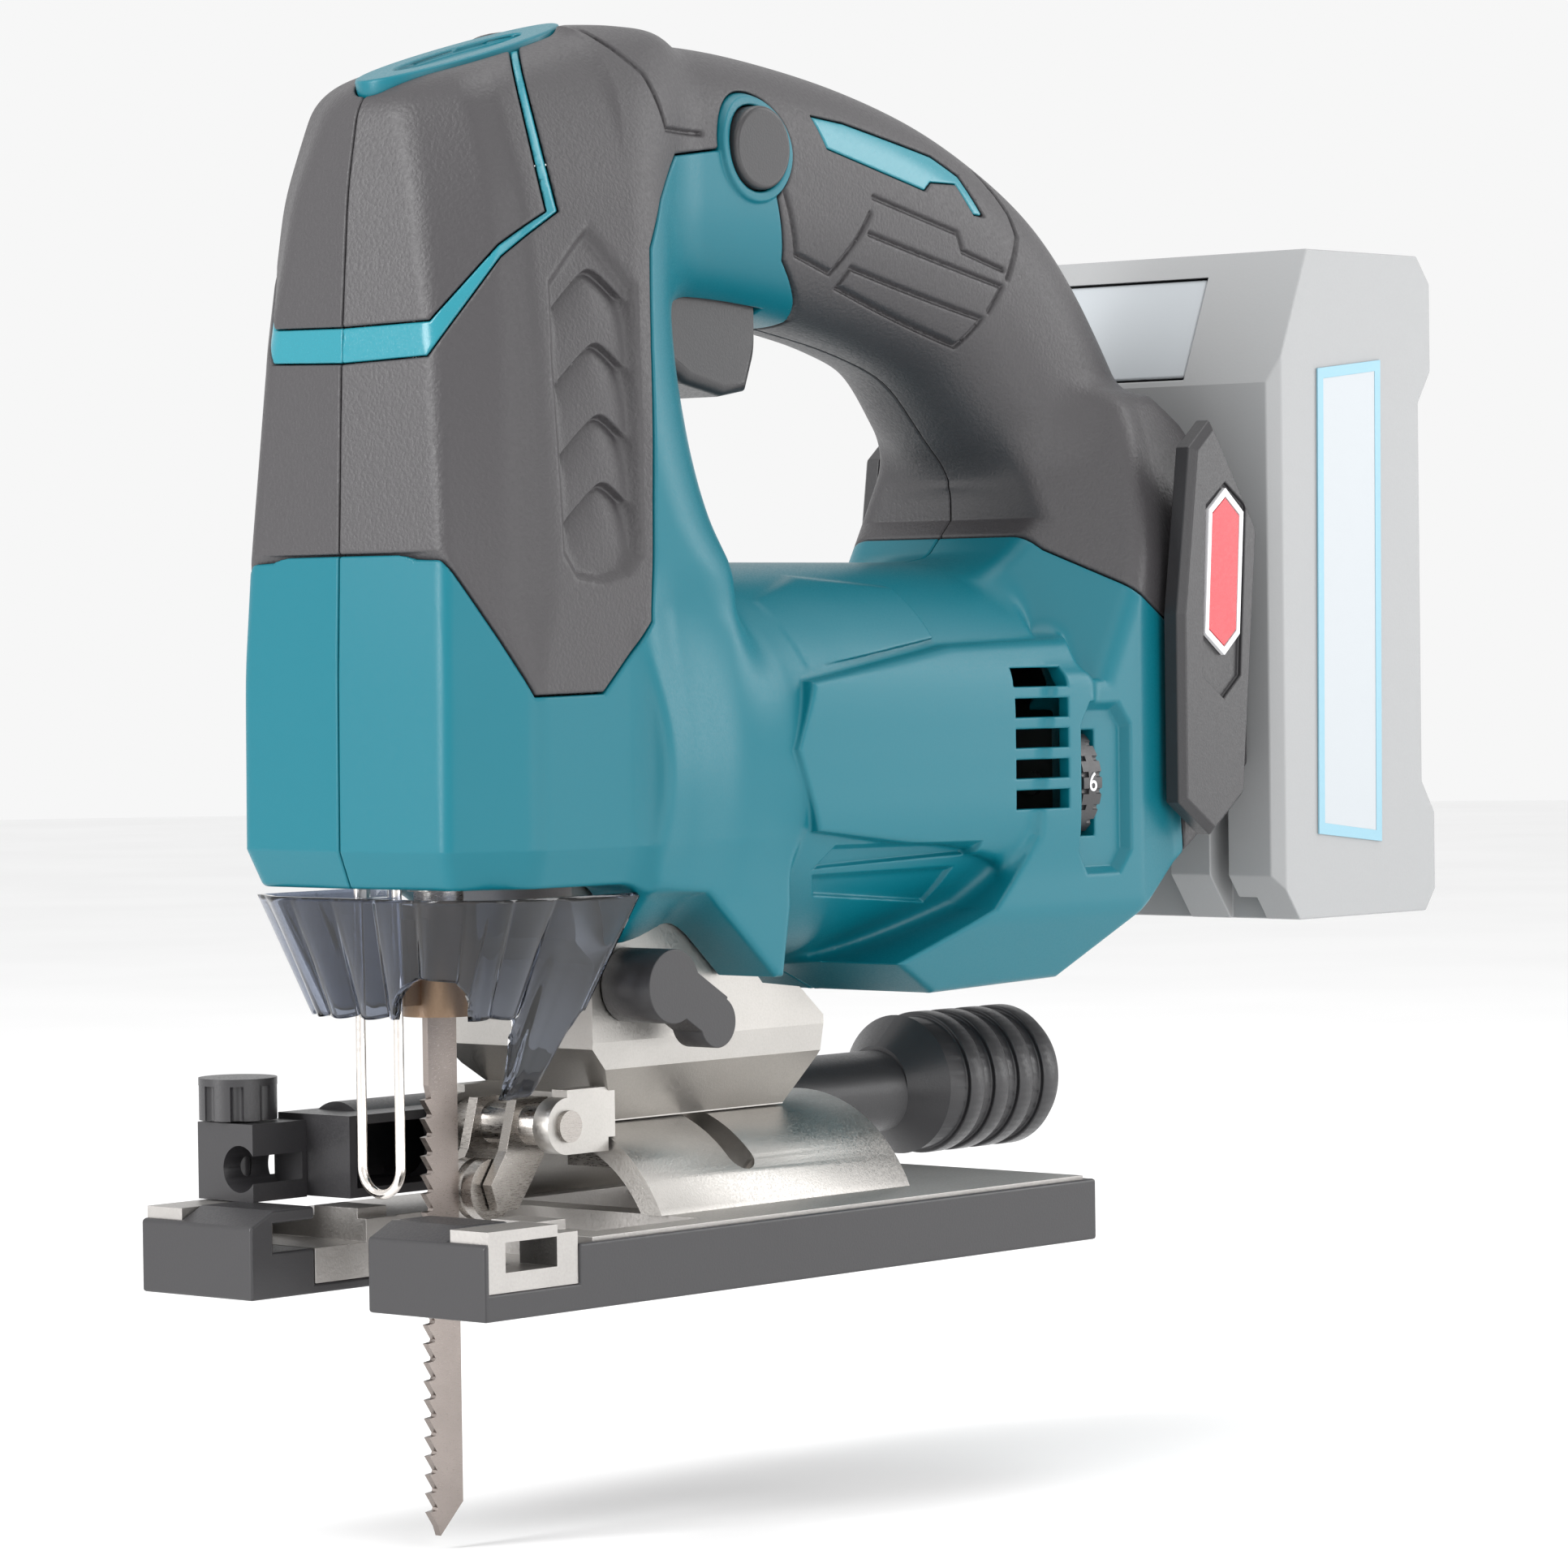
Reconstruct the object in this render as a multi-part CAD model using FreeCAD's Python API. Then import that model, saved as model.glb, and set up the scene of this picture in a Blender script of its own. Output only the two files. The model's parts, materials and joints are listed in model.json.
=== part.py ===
import FreeCAD, Part
import math
import os

# Cordless top-handle jigsaw with a slide-on battery.
# Frame: millimetres, +Z up, -X is the cutting direction, +Y is the tool's right hand side.
# Origin: on the underside of the sole, on the centre line of the blade.

# ---- driving dimensions ------------------------------------------------------------------
SOLE_FRONT = -28.5
SOLE_LENGTH = 150.0
SOLE_HALF = 38.5
SOLE_TOP = 11.0
PRONG_TOP = 14.0
COVER_TOP = 10.4
COVER_FLOOR = 1.6

PLUNGER_X = 1.5
STROKE = 26.0
MOTOR_Z = 83.0
GEAR_MODULE = 1.2
PINION_TEETH = 9
CRANK_TEETH = 36
CRANK_Z = MOTOR_Z + GEAR_MODULE * (PINION_TEETH + CRANK_TEETH) / 2
GEAR_FRONT = 13.0
GEAR_WIDTH = 7.0
PIVOT_Z = 160.0
RUN_FIT = 0.05

BARREL_R = 33.5
WALL = 2.4
SKIN = 1.2
REAR_HALF = 34.0
REAR_X = 175.5

QUADRANT_R = 26.5
QUADRANT_WALL = 4.0
QUADRANT_X = (27.0, 89.0)
BOLT_X = 52.0
BOLT_R = 2.5
SHIFT = 12.0

FORK_PIN = (16.8, 25.7)
ROLLER = (9.8, 15.5)
ROLLER_R = 5.0

NOZZLE_Y = 26.5
NOZZLE_Z = 21.5
PORT_R = 9.5

BATTERY_X = (175.9, 224.0)
BATTERY_Z = (52.0, 172.0)
BATTERY_HALF = 38.0

V = FreeCAD.Vector
X_AXIS = V(1, 0, 0)
Y_AXIS = V(0, 1, 0)
Z_AXIS = V(0, 0, 1)
os.makedirs("parts", exist_ok=True)


# ---- helpers -----------------------------------------------------------------------------
def save(name, shape):
    shape.exportStep("parts/" + name + ".step")


def box(x, y, z):
    """Box from three (low, high) pairs."""
    return Part.makeBox(x[1] - x[0], y[1] - y[0], z[1] - z[0], V(x[0], y[0], z[0]))


def cyl_x(y, z, r, x):
    return Part.makeCylinder(r, x[1] - x[0], V(x[0], y, z), X_AXIS)


def cyl_y(x, z, r, y):
    return Part.makeCylinder(r, y[1] - y[0], V(x, y[0], z), Y_AXIS)


def cyl_z(x, y, r, z):
    return Part.makeCylinder(r, z[1] - z[0], V(x, y, z[0]), Z_AXIS)


def face(points):
    return Part.Face(Part.makePolygon(points + [points[0]]))


def prism_y(outline, y, inset=0.0):
    """Side outline (x, z) carried from y[0] to y[1]."""
    flat = face([V(x, y[0], z) for x, z in outline])
    if inset:
        flat = flat.makeOffset2D(-inset)
    return flat.extrude(V(0, y[1] - y[0], 0))


def prism_x(outline, x, inset=0.0):
    """Front outline (y, z) carried from x[0] to x[1]."""
    flat = face([V(x[0], y, z) for y, z in outline])
    if inset:
        flat = flat.makeOffset2D(-inset)
    return flat.extrude(V(x[1] - x[0], 0, 0))


def prism_z(outline, z):
    """Plan outline (x, y) carried from z[0] to z[1]."""
    return face([V(x, y, z[0]) for x, y in outline]).extrude(V(0, 0, z[1] - z[0]))


def both_sides(outline):
    """Right half outline (y >= 0, listed upwards) closed by its mirror image."""
    return outline + [(-y, z) for y, z in reversed(outline)]


def mirrored(shape):
    return shape.mirror(V(0, 0, 0), Y_AXIS)


def join(shapes):
    whole = shapes[0]
    if len(shapes) > 1:
        whole = whole.multiFuse(shapes[1:])
    return whole.removeSplitter()


def group(solids):
    """Separate solids that share one node."""
    return Part.makeCompound(solids)


def left_of(shape):
    return shape.common(box((-60, 260), (-60, 0), (-60, 260)))


def right_of(shape):
    return shape.common(box((-60, 260), (0, 60), (-60, 260)))


# ---- housing envelope --------------------------------------------------------------------
# Head sections: height, nose x, outer front corner (x, y), cheek corner (x, y), side half width,
# where the side ends (x), half width of the back
HEAD = [
    (65.0, -18.5, (-17.5, 20.4), (-5.0, 29.0), 30.0, 46.5, 29.2),
    (71.0, -20.5, (-19.5, 22.4), (-7.0, 31.0), 32.0, 46.8, 31.5),
    (99.0, -20.2, (-19.0, 22.4), (-7.0, 31.0), 32.0, 46.8, 31.5),
    (117.5, -19.5, (-18.3, 21.5), (-7.0, 30.6), 32.0, 34.8, 21.0),
    (150.0, -18.5, (-16.8, 18.4), (-7.0, 29.0), 30.5, 24.4, 10.4),
    (175.0, -16.6, (-15.0, 13.5), (-6.5, 25.5), 28.0, 27.3, 10.4),
    (191.0, -14.1, (-13.2, 7.0), (-6.0, 19.0), 22.0, 34.0, 10.4),
    (204.0, -8.0, (-7.0, 5.0), (0.0, 10.0), 13.0, 42.0, 9.0),
]
HEAD_BACK = 47.3
TOP_SLOPE = [(-30.0, 186.4), (27.0, 202.7), (60.0, 202.9), (60.0, 230.0), (-30.0, 230.0)]

# Handle stations: centre (x, z), downward tilt in degrees, half height, half width
HANDLE = [
    (26.0, 180.0, 0.0, 21.5, 19.5),
    (58.0, 180.5, 2.0, 21.9, 18.8),
    (84.0, 177.5, 10.0, 21.7, 18.2),
    (106.0, 172.8, 27.0, 21.7, 18.2),
    (131.0, 162.5, 48.0, 21.0, 18.6),
    (152.5, 132.0, 88.0, 20.6, 21.5),
]

REAR_SIDE = [
    (80, 52), (92.5, 43.4), (125.4, 44.4), (160.5, 67.7), (171.4, 76.7), (REAR_X, 80),
    (REAR_X, 126.5), (166, 141), (160, 146), (131, 146), (131, 124), (125, 118), (119, 113),
    (80, 113),
]
REAR_FRONT = both_sides([(26, 42), (REAR_HALF, 56), (REAR_HALF, 121), (27, 143), (20, 152)])
# Slanted front corners of the rear housing: x on the centre plane at the lower edge, how far x
# moves back per mm of width and per mm of height, and the heights it runs between
SLANT_X = 98.0
SLANT_RUN = 1.19
SLANT_RISE = 0.55
SLANT_LOW = 108.0
SLANT_HIGH = 154.0
WEB_SIDE = [(40, 134), (46.8, 134), (51.3, 123.4), (58.2, 117), (60, 100), (40, 100)]
WEB_HALF = 12.0
HEEL_SIDE = [(20, 84), (20, 65), (32, 63.2), (48.5, 48.5), (50.5, 48.5), (52.5, 60), (52.5, 84)]
HEEL_HALF = 30.6


def head_wire(section, inset):
    z, nose, corner, cheek, half, side_end, back_half = section
    right = [
        (nose + inset, 0.0),
        (corner[0] + inset, corner[1] - inset * 0.6),
        (cheek[0] + inset * 0.6, cheek[1] - inset),
        (side_end - inset * 0.5, half - inset),
        (HEAD_BACK - inset, back_half - inset * 0.8),
    ]
    left = [(x, -y) for x, y in reversed(right[1:])]
    points = [V(x, y, z) for x, y in right + left]
    return Part.makePolygon(points + [points[0]])


def head_solid(inset):
    solid = Part.makeLoft([head_wire(s, inset) for s in HEAD], True, True)
    if inset:
        solid = solid.common(box((-60, 60), (-60, 60), (HEAD[0][0] + inset, 260)))
    above = prism_y(TOP_SLOPE, (-60, 60)).translated(V(0, 0, -inset))
    return solid.cut(above)


def handle_wire(station, inset):
    x, z, tilt, half_height, half_width = station
    a = math.radians(tilt)
    up = V(math.sin(a), 0, math.cos(a))
    centre = V(x, 0, z)
    high = half_height - inset
    wide = half_width - inset
    count = 16
    power = 2 / 2.5
    points = []
    for i in range(count):
        t = 2 * math.pi * i / count
        c = math.copysign(abs(math.cos(t)) ** power, math.cos(t))
        s = math.copysign(abs(math.sin(t)) ** power, math.sin(t))
        points.append(centre + up * (high * c) + Y_AXIS * (wide * s))
    curve = Part.BSplineCurve()
    curve.interpolate(points, PeriodicFlag=True)
    return Part.Wire(curve.toShape())


def handle_solid(inset):
    return Part.makeLoft([handle_wire(s, inset) for s in HANDLE], True, False)


def rear_solid(inset):
    side = prism_y(REAR_SIDE, (-60, 60), inset)
    block = side.common(prism_x(REAR_FRONT, (60, 200), inset))
    shift = inset * math.hypot(1, SLANT_RUN)
    low = SLANT_LOW - inset
    corners = [(6, low), (48, low), (48, SLANT_HIGH), (6, SLANT_HIGH)]
    slant = face([V(SLANT_X + shift + SLANT_RUN * y + SLANT_RISE * (z - SLANT_LOW), y, z)
                  for y, z in corners])
    wedge = slant.extrude(V(-80, 0, 0))
    return block.cut(wedge).cut(mirrored(wedge))


def body_solid(inset):
    barrel = cyl_x(0, MOTOR_Z, BARREL_R - inset, (30 + inset, 122 - inset))
    web = prism_y(WEB_SIDE, (-WEB_HALF + inset, WEB_HALF - inset), inset)
    heel = prism_y(HEEL_SIDE, (-HEEL_HALF + inset, HEEL_HALF - inset), inset)
    pieces = [head_solid(inset), handle_solid(inset), barrel, rear_solid(inset), web, heel]
    return join(pieces)


# ---- gears -------------------------------------------------------------------------------
ADDENDUM = 0.85 * GEAR_MODULE
DEDENDUM = 1.15 * GEAR_MODULE
TOOTH_SHARE = 0.44
PRESSURE = math.radians(20)


def involute(angle):
    return math.tan(angle) - angle


def gear_outline(teeth, phase, z_centre):
    """Spur gear outline in the (y, z) plane with one tooth at the phase angle."""
    pitch_r = GEAR_MODULE * teeth / 2
    base_r = pitch_r * math.cos(PRESSURE)
    half_tooth = math.pi / teeth * TOOTH_SHARE
    low = max(base_r, pitch_r - DEDENDUM)
    radii = [low + (pitch_r + ADDENDUM - low) * i / 4 for i in range(5)]
    flank = []
    for r in radii:
        pressure = math.acos(min(1.0, base_r / r))
        flank.append((r, half_tooth + involute(PRESSURE) - involute(pressure)))
    root_r = pitch_r - DEDENDUM
    flank.insert(0, (root_r, flank[0][1] + 0.004))
    points = []
    for tooth in range(teeth):
        centre = phase + 2 * math.pi * tooth / teeth
        side = [(r, centre - a) for r, a in flank] + [(r, centre + a) for r, a in reversed(flank)]
        points += [(r * math.cos(t), z_centre + r * math.sin(t)) for r, t in side]
    return points


# ---- shells ------------------------------------------------------------------------------
GRIP_SIDE = [
    (-40, 117.5), (-17, 117.5), (-9.5, 94.5), (10, 95.5), (19.7, 106.6), (20, 166), (25, 187),
    (50, 187.5), (66, 187), (70, 176), (78, 157), (90, 130), (118, 122.4), (127, 122.2),
    (130, 118.4), (141.5, 110.7), (153.5, 105), (156, 60), (190, 60), (190, 220), (-40, 220),
]
VENT_X = (107.0, 120.0)
VENT_LOW = 74.0
VENT_PITCH = 5.2
VENT_COUNT = 5
VENT_HEIGHT = 3.2
LAMP_X = -13.2
LAMP_R = 2.5
WIRE_X = -12.2
WIRE_HALF = 4.25
WIRE_R = 0.8
DIAL = (127.0, -23.5, 78.0)
DIAL_R = 11.0
LOCK = (59.5, 184.4)
LOCK_R = 6.9
SCREWS = [(-13, 76), (38, 73), (16, 152), (22, 190), (112, 168), (100, 50), (158, 82)]


def shell_cuts():
    cuts = [
        box((-11, 14), (-16, 16), (60, 72)),
        prism_y(CASE_SIDE, (-CASE_HALF - 0.4, CASE_HALF + 0.4), -0.4),
        box((48, 71), (-8.6, 8.6), (140, 172)),
        cyl_y(LOCK[0], LOCK[1], LOCK_R + 0.3, (-60, 60)),
        box((DIAL[0] - 3, DIAL[0] + 3), (-40, -20), (DIAL[2] - 9, DIAL[2] + 9)),
        box((165, 180), (-13, 13), (79.5, 112.5)),
        cyl_z(LAMP_X, 0, LAMP_R + 0.1, (60, 72)),
        cyl_z(WIRE_X, WIRE_HALF, WIRE_R + 0.1, (60, 72)),
        cyl_z(WIRE_X, -WIRE_HALF, WIRE_R + 0.1, (60, 72)),
    ]
    for i in range(VENT_COUNT):
        low = VENT_LOW + VENT_PITCH * i
        cuts.append(box(VENT_X, (-40, 40), (low, low + VENT_HEIGHT)))
    pocket = prism_y([(123.4, 66), (126, 62), (135, 62), (138.5, 66), (138.5, 88), (135, 92),
                      (126, 92), (123.4, 88)], (-40, -32.2))
    cuts.append(pocket)
    return join(cuts)


def screw_holes():
    holes = []
    for x, z in SCREWS:
        holes.append(cyl_y(x, z, 1.9, (0, 60)))
        holes.append(cyl_y(x, z, 3.8, (shell_half(x, z) - 4, 60)))
    return join(holes)


def shell_half(x, z):
    """Half width of the housing side at a screw."""
    if z > 140 and x > 100:
        return 17.0
    if z > 180:
        return 20.0
    if x < -10:
        return 25.0
    if 45 < x < 105:
        return 22.0
    return 29.0 if z > 140 else 31.0


def make_shells():
    outer = body_solid(0.0)
    skin_core = body_solid(SKIN)
    cavity = body_solid(WALL)
    cap = nose_cap_solid(0.15)
    cuts = shell_cuts()
    grip_zone = prism_y(GRIP_SIDE, (-60, 60))
    skin = outer.cut(skin_core).common(grip_zone).cut(cap).cut(cuts)
    shell = outer.cut(cavity).cut(skin).cut(cap).cut(cuts)
    holes = screw_holes()
    save("housing_left", left_of(shell))
    save("housing_right", right_of(shell).cut(holes))
    save("grip_left", left_of(skin))
    save("grip_right", right_of(skin).cut(holes))


# ---- nose cap, guards and badges ---------------------------------------------------------
CAP_CENTRE = V(9.0, 0, 197.2)
CAP_TILT = 15.9
CAP_HALF = (22.0, 10.0)


def oval(half, z, thickness):
    disc = Part.Face(Part.Wire(Part.Ellipse(V(0, 0, z), half[0], half[1]).toShape()))
    return disc.extrude(V(0, 0, thickness))


def nose_cap_solid(gap):
    disc = oval((CAP_HALF[0] + gap, CAP_HALF[1] + gap), -3.0, 4.2)
    disc.rotate(V(0, 0, 0), Y_AXIS, -CAP_TILT)
    disc.translate(CAP_CENTRE)
    return disc


def make_nose_cap():
    cap = nose_cap_solid(0.0)
    well = oval((14.0, 5.4), 0.2, 4.0)
    well.rotate(V(0, 0, 0), Y_AXIS, -CAP_TILT)
    well.translate(CAP_CENTRE)
    save("nose_cap", cap.cut(well))


GUARD_SIDE = [(148, 74), (157, 68), (166.5, 75), (171, 122), (158, 141), (152, 136), (148, 107)]


def make_guards():
    outer = prism_y(GUARD_SIDE, (REAR_HALF + 0.05, BATTERY_HALF))
    outer = outer.makeChamfer(1.2, [e for e in outer.Edges if e.BoundBox.YMin > BATTERY_HALF - 0.1])
    well = prism_y([(154, 96), (160, 92), (165, 96), (167, 126), (161, 130), (155.5, 126)],
                   (BATTERY_HALF - 0.8, 60))
    guard = outer.cut(well)
    save("guard_right", guard)
    save("guard_left", mirrored(guard))
    badge = prism_y([(154.4, 96.3), (160, 92.5), (164.6, 96.2), (166.5, 125.8), (161, 129.5), (155.9, 125.8)],
                    (BATTERY_HALF - 0.8, BATTERY_HALF + 0.2))
    save("side_badges", group([badge, mirrored(badge)]))


# ---- gear case and motor -----------------------------------------------------------------
CASE_HALF = 17.0
STATOR_R = 27.0
CASE_SIDE = [
    (14.5, 69), (45.5, 69), (45.5, 62), (60.2, 46.6), (69.5, 45.5), (75.5, 40.5), (75.5, 33.5),
    (73.2, 20), (27.3, 20), (27.3, 30), (19, 38), (18.7, 52), (14.5, 56),
]
CASE_FRONT = both_sides([(8.8, 20), (8.9, 25.5), (16.2, 34.5), (CASE_HALF, 39), (CASE_HALF, 72)])
EAR = (9.8, 13.2)


def make_gear_case():
    case = prism_y(CASE_SIDE, (-CASE_HALF, CASE_HALF)).common(prism_x(CASE_FRONT, (0, 90)))
    case = case.cut(cyl_x(0, 0, QUADRANT_R + 0.3, (0, 100)))
    for side in (1, -1):
        y = sorted((side * EAR[0], side * EAR[1]))
        ear = cyl_y(FORK_PIN[0], FORK_PIN[1], 4.6, y)
        case = case.fuse(ear.fuse(box((FORK_PIN[0], 28), y, (21.1, 31.5))))
    case = case.cut(cyl_x(0, 0, QUADRANT_R + 0.3, (QUADRANT_X[0] - 0.6, 100)))
    case = case.cut(cyl_x(0, MOTOR_Z, STATOR_R + 0.5, (41, 100)))
    case = case.cut(cyl_y(FORK_PIN[0], FORK_PIN[1], 1.8, (-20, 20)))
    case = case.cut(cyl_z(BOLT_X, 0, BOLT_R, (10, 42)))
    case = case.cut(cyl_y(26.6, 48.1, 3.6 + RUN_FIT, (-20, -4)))
    case = case.cut(box((20, 40), (-13, 13), (56, 80)))
    save("gear_case", case.removeSplitter())


def make_motor():
    plate = box((22.5, 26.5), (-25, 25), (69.2, 138))
    plate = plate.fuse(cyl_x(0, MOTOR_Z, 12, (26, 34)))
    plate = plate.cut(cyl_x(0, MOTOR_Z, 9.5, (27, 40))).cut(cyl_x(0, MOTOR_Z, 7, (20, 30)))
    plate = plate.cut(cyl_x(0, CRANK_Z, 4.0, (20, 30)))
    plate = plate.cut(cyl_y(36, 150, 6, (-60, 60)))
    save("motor_plate", plate.removeSplitter())
    save("gear_spindle", cyl_x(0, CRANK_Z, 4.0, (13.5, 26.5)))

    stator = cyl_x(0, MOTOR_Z, STATOR_R, (42, 80)).cut(cyl_x(0, MOTOR_Z, 15.4, (40, 82)))
    slots = []
    for i in range(6):
        slot = box((40, 82), (-2.4, 2.4), (MOTOR_Z + 15, MOTOR_Z + 23))
        slot.rotate(V(0, 0, MOTOR_Z), X_AXIS, 60 * i + 30)
        slots.append(slot)
    save("stator", stator.cut(join(slots)))

    rings = []
    for x in ((27.2, 33.8), (92.0, 98.0)):
        rings.append(cyl_x(0, MOTOR_Z, 9.5, x).cut(cyl_x(0, MOTOR_Z, 3.0 + 0.03, x)))
    save("motor_bearings", group(rings))

    save("rotor_core", cyl_x(0, MOTOR_Z, 15.0, (43, 79)).cut(cyl_x(0, MOTOR_Z, 3.0, (40, 82))))
    gap_phase = math.pi / 2 + math.pi / PINION_TEETH
    pinion = prism_x(gear_outline(PINION_TEETH, gap_phase, MOTOR_Z), (GEAR_FRONT, 21.5))
    save("rotor_shaft", join([cyl_x(0, MOTOR_Z, 3.0, (21, 99)), pinion]))

    hub = cyl_x(0, MOTOR_Z, 8, (83, 90)).fuse(cyl_x(0, MOTOR_Z, 25, (83, 84.5)))
    blades = []
    for i in range(14):
        blade = box((84.3, 90), (-0.7, 0.7), (MOTOR_Z + 7.5, MOTOR_Z + 24.5))
        blade.rotate(V(0, 0, MOTOR_Z), X_AXIS, 360 * i / 14)
        blades.append(blade)
    fan = join([hub] + blades).cut(cyl_x(0, MOTOR_Z, 3.0, (80, 92)))
    save("cooling_fan", fan)


def make_crank():
    outline = gear_outline(CRANK_TEETH, -math.pi / 2, CRANK_Z)
    gear = prism_x(outline, (GEAR_FRONT, GEAR_FRONT + GEAR_WIDTH))
    gear = gear.cut(cyl_x(0, CRANK_Z, 4.0 + RUN_FIT, (10, 25)))
    for i in range(5):
        a = math.radians(60 * (i + 1))
        lightening = cyl_x(13 * math.cos(a), CRANK_Z + 13 * math.sin(a), 4.2, (10, 25))
        gear = gear.cut(lightening)
    pin_y = STROKE / 2
    save("crank_gear", gear.cut(cyl_x(pin_y, CRANK_Z, 3.5, (10, 25))))
    save("crank_pin", cyl_x(pin_y, CRANK_Z, 3.5, (GEAR_FRONT - 2, GEAR_FRONT + GEAR_WIDTH)))


# ---- plunger, blade and their swinging carrier -------------------------------------------
ROD_R = 5.0
LOWER_BUSH = (79.0, 89.0)
UPPER_BUSH = (131.0, 143.0)
YOKE_HALF = 20.5
BLADE_TIP = -39.3
BLADE_BACK = 4.5
BLADE_FRONT = -3.0
BLADE_HALF = 0.6
TOOTH_PITCH = 3.0
TOOTH_DEPTH = 1.7
TOOTH_COUNT = 23


def make_carrier():
    body = join([
        box((-9, 8), (-8.5, 8.5), LOWER_BUSH),
        box((-9, 10), (-10.5, 10.5), UPPER_BUSH),
        box((-9, -6), (-10.5, 10.5), (LOWER_BUSH[0], UPPER_BUSH[1])),
        box((-5, 7.5), (-10.5, -6.5), (140, PIVOT_Z + 5)),
        box((-5, 7.5), (6.5, 10.5), (140, PIVOT_Z + 5)),
        cyl_y(PLUNGER_X, PIVOT_Z, 3.0, (8, 16)),
        cyl_y(PLUNGER_X, PIVOT_Z, 3.0, (-16, -8)),
    ])
    body = body.cut(cyl_z(PLUNGER_X, 0, 7.0, (70, 150)))
    save("swing_carrier", body)
    rings = []
    for span in (LOWER_BUSH, UPPER_BUSH):
        ring = cyl_z(PLUNGER_X, 0, 7.0, span).cut(cyl_z(PLUNGER_X, 0, ROD_R + RUN_FIT, span))
        rings.append(ring)
    save("plunger_bushes", group(rings))
    blocks = []
    for y in ((11.2, 16), (-16, -11.2)):
        block = box((-5, 8), y, (PIVOT_Z - 6, PIVOT_Z + 6))
        blocks.append(block.cut(cyl_y(PLUNGER_X, PIVOT_Z, 3.0 + RUN_FIT, y)))
    save("pivot_blocks", group(blocks))


def make_plunger():
    save("plunger", cyl_z(PLUNGER_X, 0, ROD_R, (64, 157)))
    yoke = box((ROD_R - 1.5, 10.5), (-YOKE_HALF, YOKE_HALF), (CRANK_Z - 7, CRANK_Z + 7))
    yoke = yoke.cut(box((6.9, 12), (-17, 17), (CRANK_Z - 3.7, CRANK_Z + 3.7)))
    yoke = yoke.cut(cyl_z(PLUNGER_X, 0, ROD_R, (80, 130)))
    save("yoke", yoke)
    holder = cyl_z(PLUNGER_X, 0, 4.0, (45, 64))
    slot = box((BLADE_FRONT, BLADE_BACK), (-BLADE_HALF, BLADE_HALF), (40, 60))
    save("blade_holder", holder.cut(slot))
    sleeve = cyl_z(PLUNGER_X, 0, 6.0, (44, 62)).cut(cyl_z(PLUNGER_X, 0, 4.0 + RUN_FIT, (40, 65)))
    tab = box((-7.8, -4.0), (-1.5, 1.5), (46, 60))
    save("clamp_sleeve", sleeve.fuse(tab).cut(cyl_z(PLUNGER_X, 0, 4.0 + RUN_FIT, (40, 65))))
    save("blade", blade_outline().extrude(V(0, 2 * BLADE_HALF, 0)))


def blade_outline():
    """Toothed side outline; the teeth lean up, against the pulling stroke."""
    points = [(BLADE_BACK, 48), (BLADE_BACK, BLADE_TIP + 5), (-0.7, BLADE_TIP)]
    low = BLADE_TIP + 1.6
    for i in range(TOOTH_COUNT):
        z = low + TOOTH_PITCH * i
        points.append((BLADE_FRONT + TOOTH_DEPTH, z))
        points.append((BLADE_FRONT, z + TOOTH_PITCH * 0.8))
        points.append((BLADE_FRONT + TOOTH_DEPTH * 0.9, z + TOOTH_PITCH * 0.86))
    points += [(BLADE_FRONT + 1, 33), (BLADE_FRONT + 1, 48), (-1.4, 48), (-1.4, 59), (4.4, 59),
               (4.4, 48)]
    return face([V(x, -BLADE_HALF, z) for x, z in points])


# ---- controls ----------------------------------------------------------------------------
def coil_spring(foot, radius, wire_r, pitch, half_turns):
    """A compression spring on Z. Each half turn is one tilted arc, and they join smoothly."""
    arcs = []
    for i in range(half_turns):
        side = 1 if i % 2 == 0 else -1
        low = pitch / 2 * i
        arcs.append(Part.Arc(foot + V(side * radius, 0, low),
                             foot + V(0, side * radius, low + pitch / 4),
                             foot + V(-side * radius, 0, low + pitch / 2)).toShape())
    section = Part.Wire(Part.Circle(foot + V(radius, 0, 0), Y_AXIS, wire_r).toShape())
    return Part.Wire(arcs).makePipeShell([section], True, True)


def make_trigger():
    side = [(48.6, 158), (48.6, 149), (54, 146), (63, 144), (69, 145), (70.3, 148.5), (70.3, 162),
            (75, 162), (75, 164.6), (49, 164.6), (49, 158)]
    finger = prism_y(side, (-8, 8))
    rounded = [e for e in finger.Edges if e.BoundBox.ZMax < 149.1 and e.BoundBox.YLength < 0.1]
    finger = finger.makeFillet(2.0, rounded)
    save("trigger", finger)

    save("trigger_spring", coil_spring(V(58, 0, 165.3), radius=3.0, wire_r=0.45, pitch=1.8,
                                       half_turns=7))
    save("spring_seat", box((52, 69), (-8, 8), (172.1, 174)))

    switch = box((70, 98), (-10, 10), (171.6, 190))
    save("switch_body", switch.fuse(box((94, 104), (-7, 7), (174, 184))).removeSplitter())


def make_lock_button():
    head = cyl_y(LOCK[0], LOCK[1], LOCK_R, (-20.4, -15))
    head = head.makeFillet(0.8, [e for e in head.Edges if abs(e.BoundBox.YMax + 20.4) < 0.01])
    far = cyl_y(LOCK[0], LOCK[1], LOCK_R, (11.5, 16.9))
    rod = cyl_y(LOCK[0], LOCK[1], 3.5, (-16, 12))
    save("lock_button", join([head, rod, far]))


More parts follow.
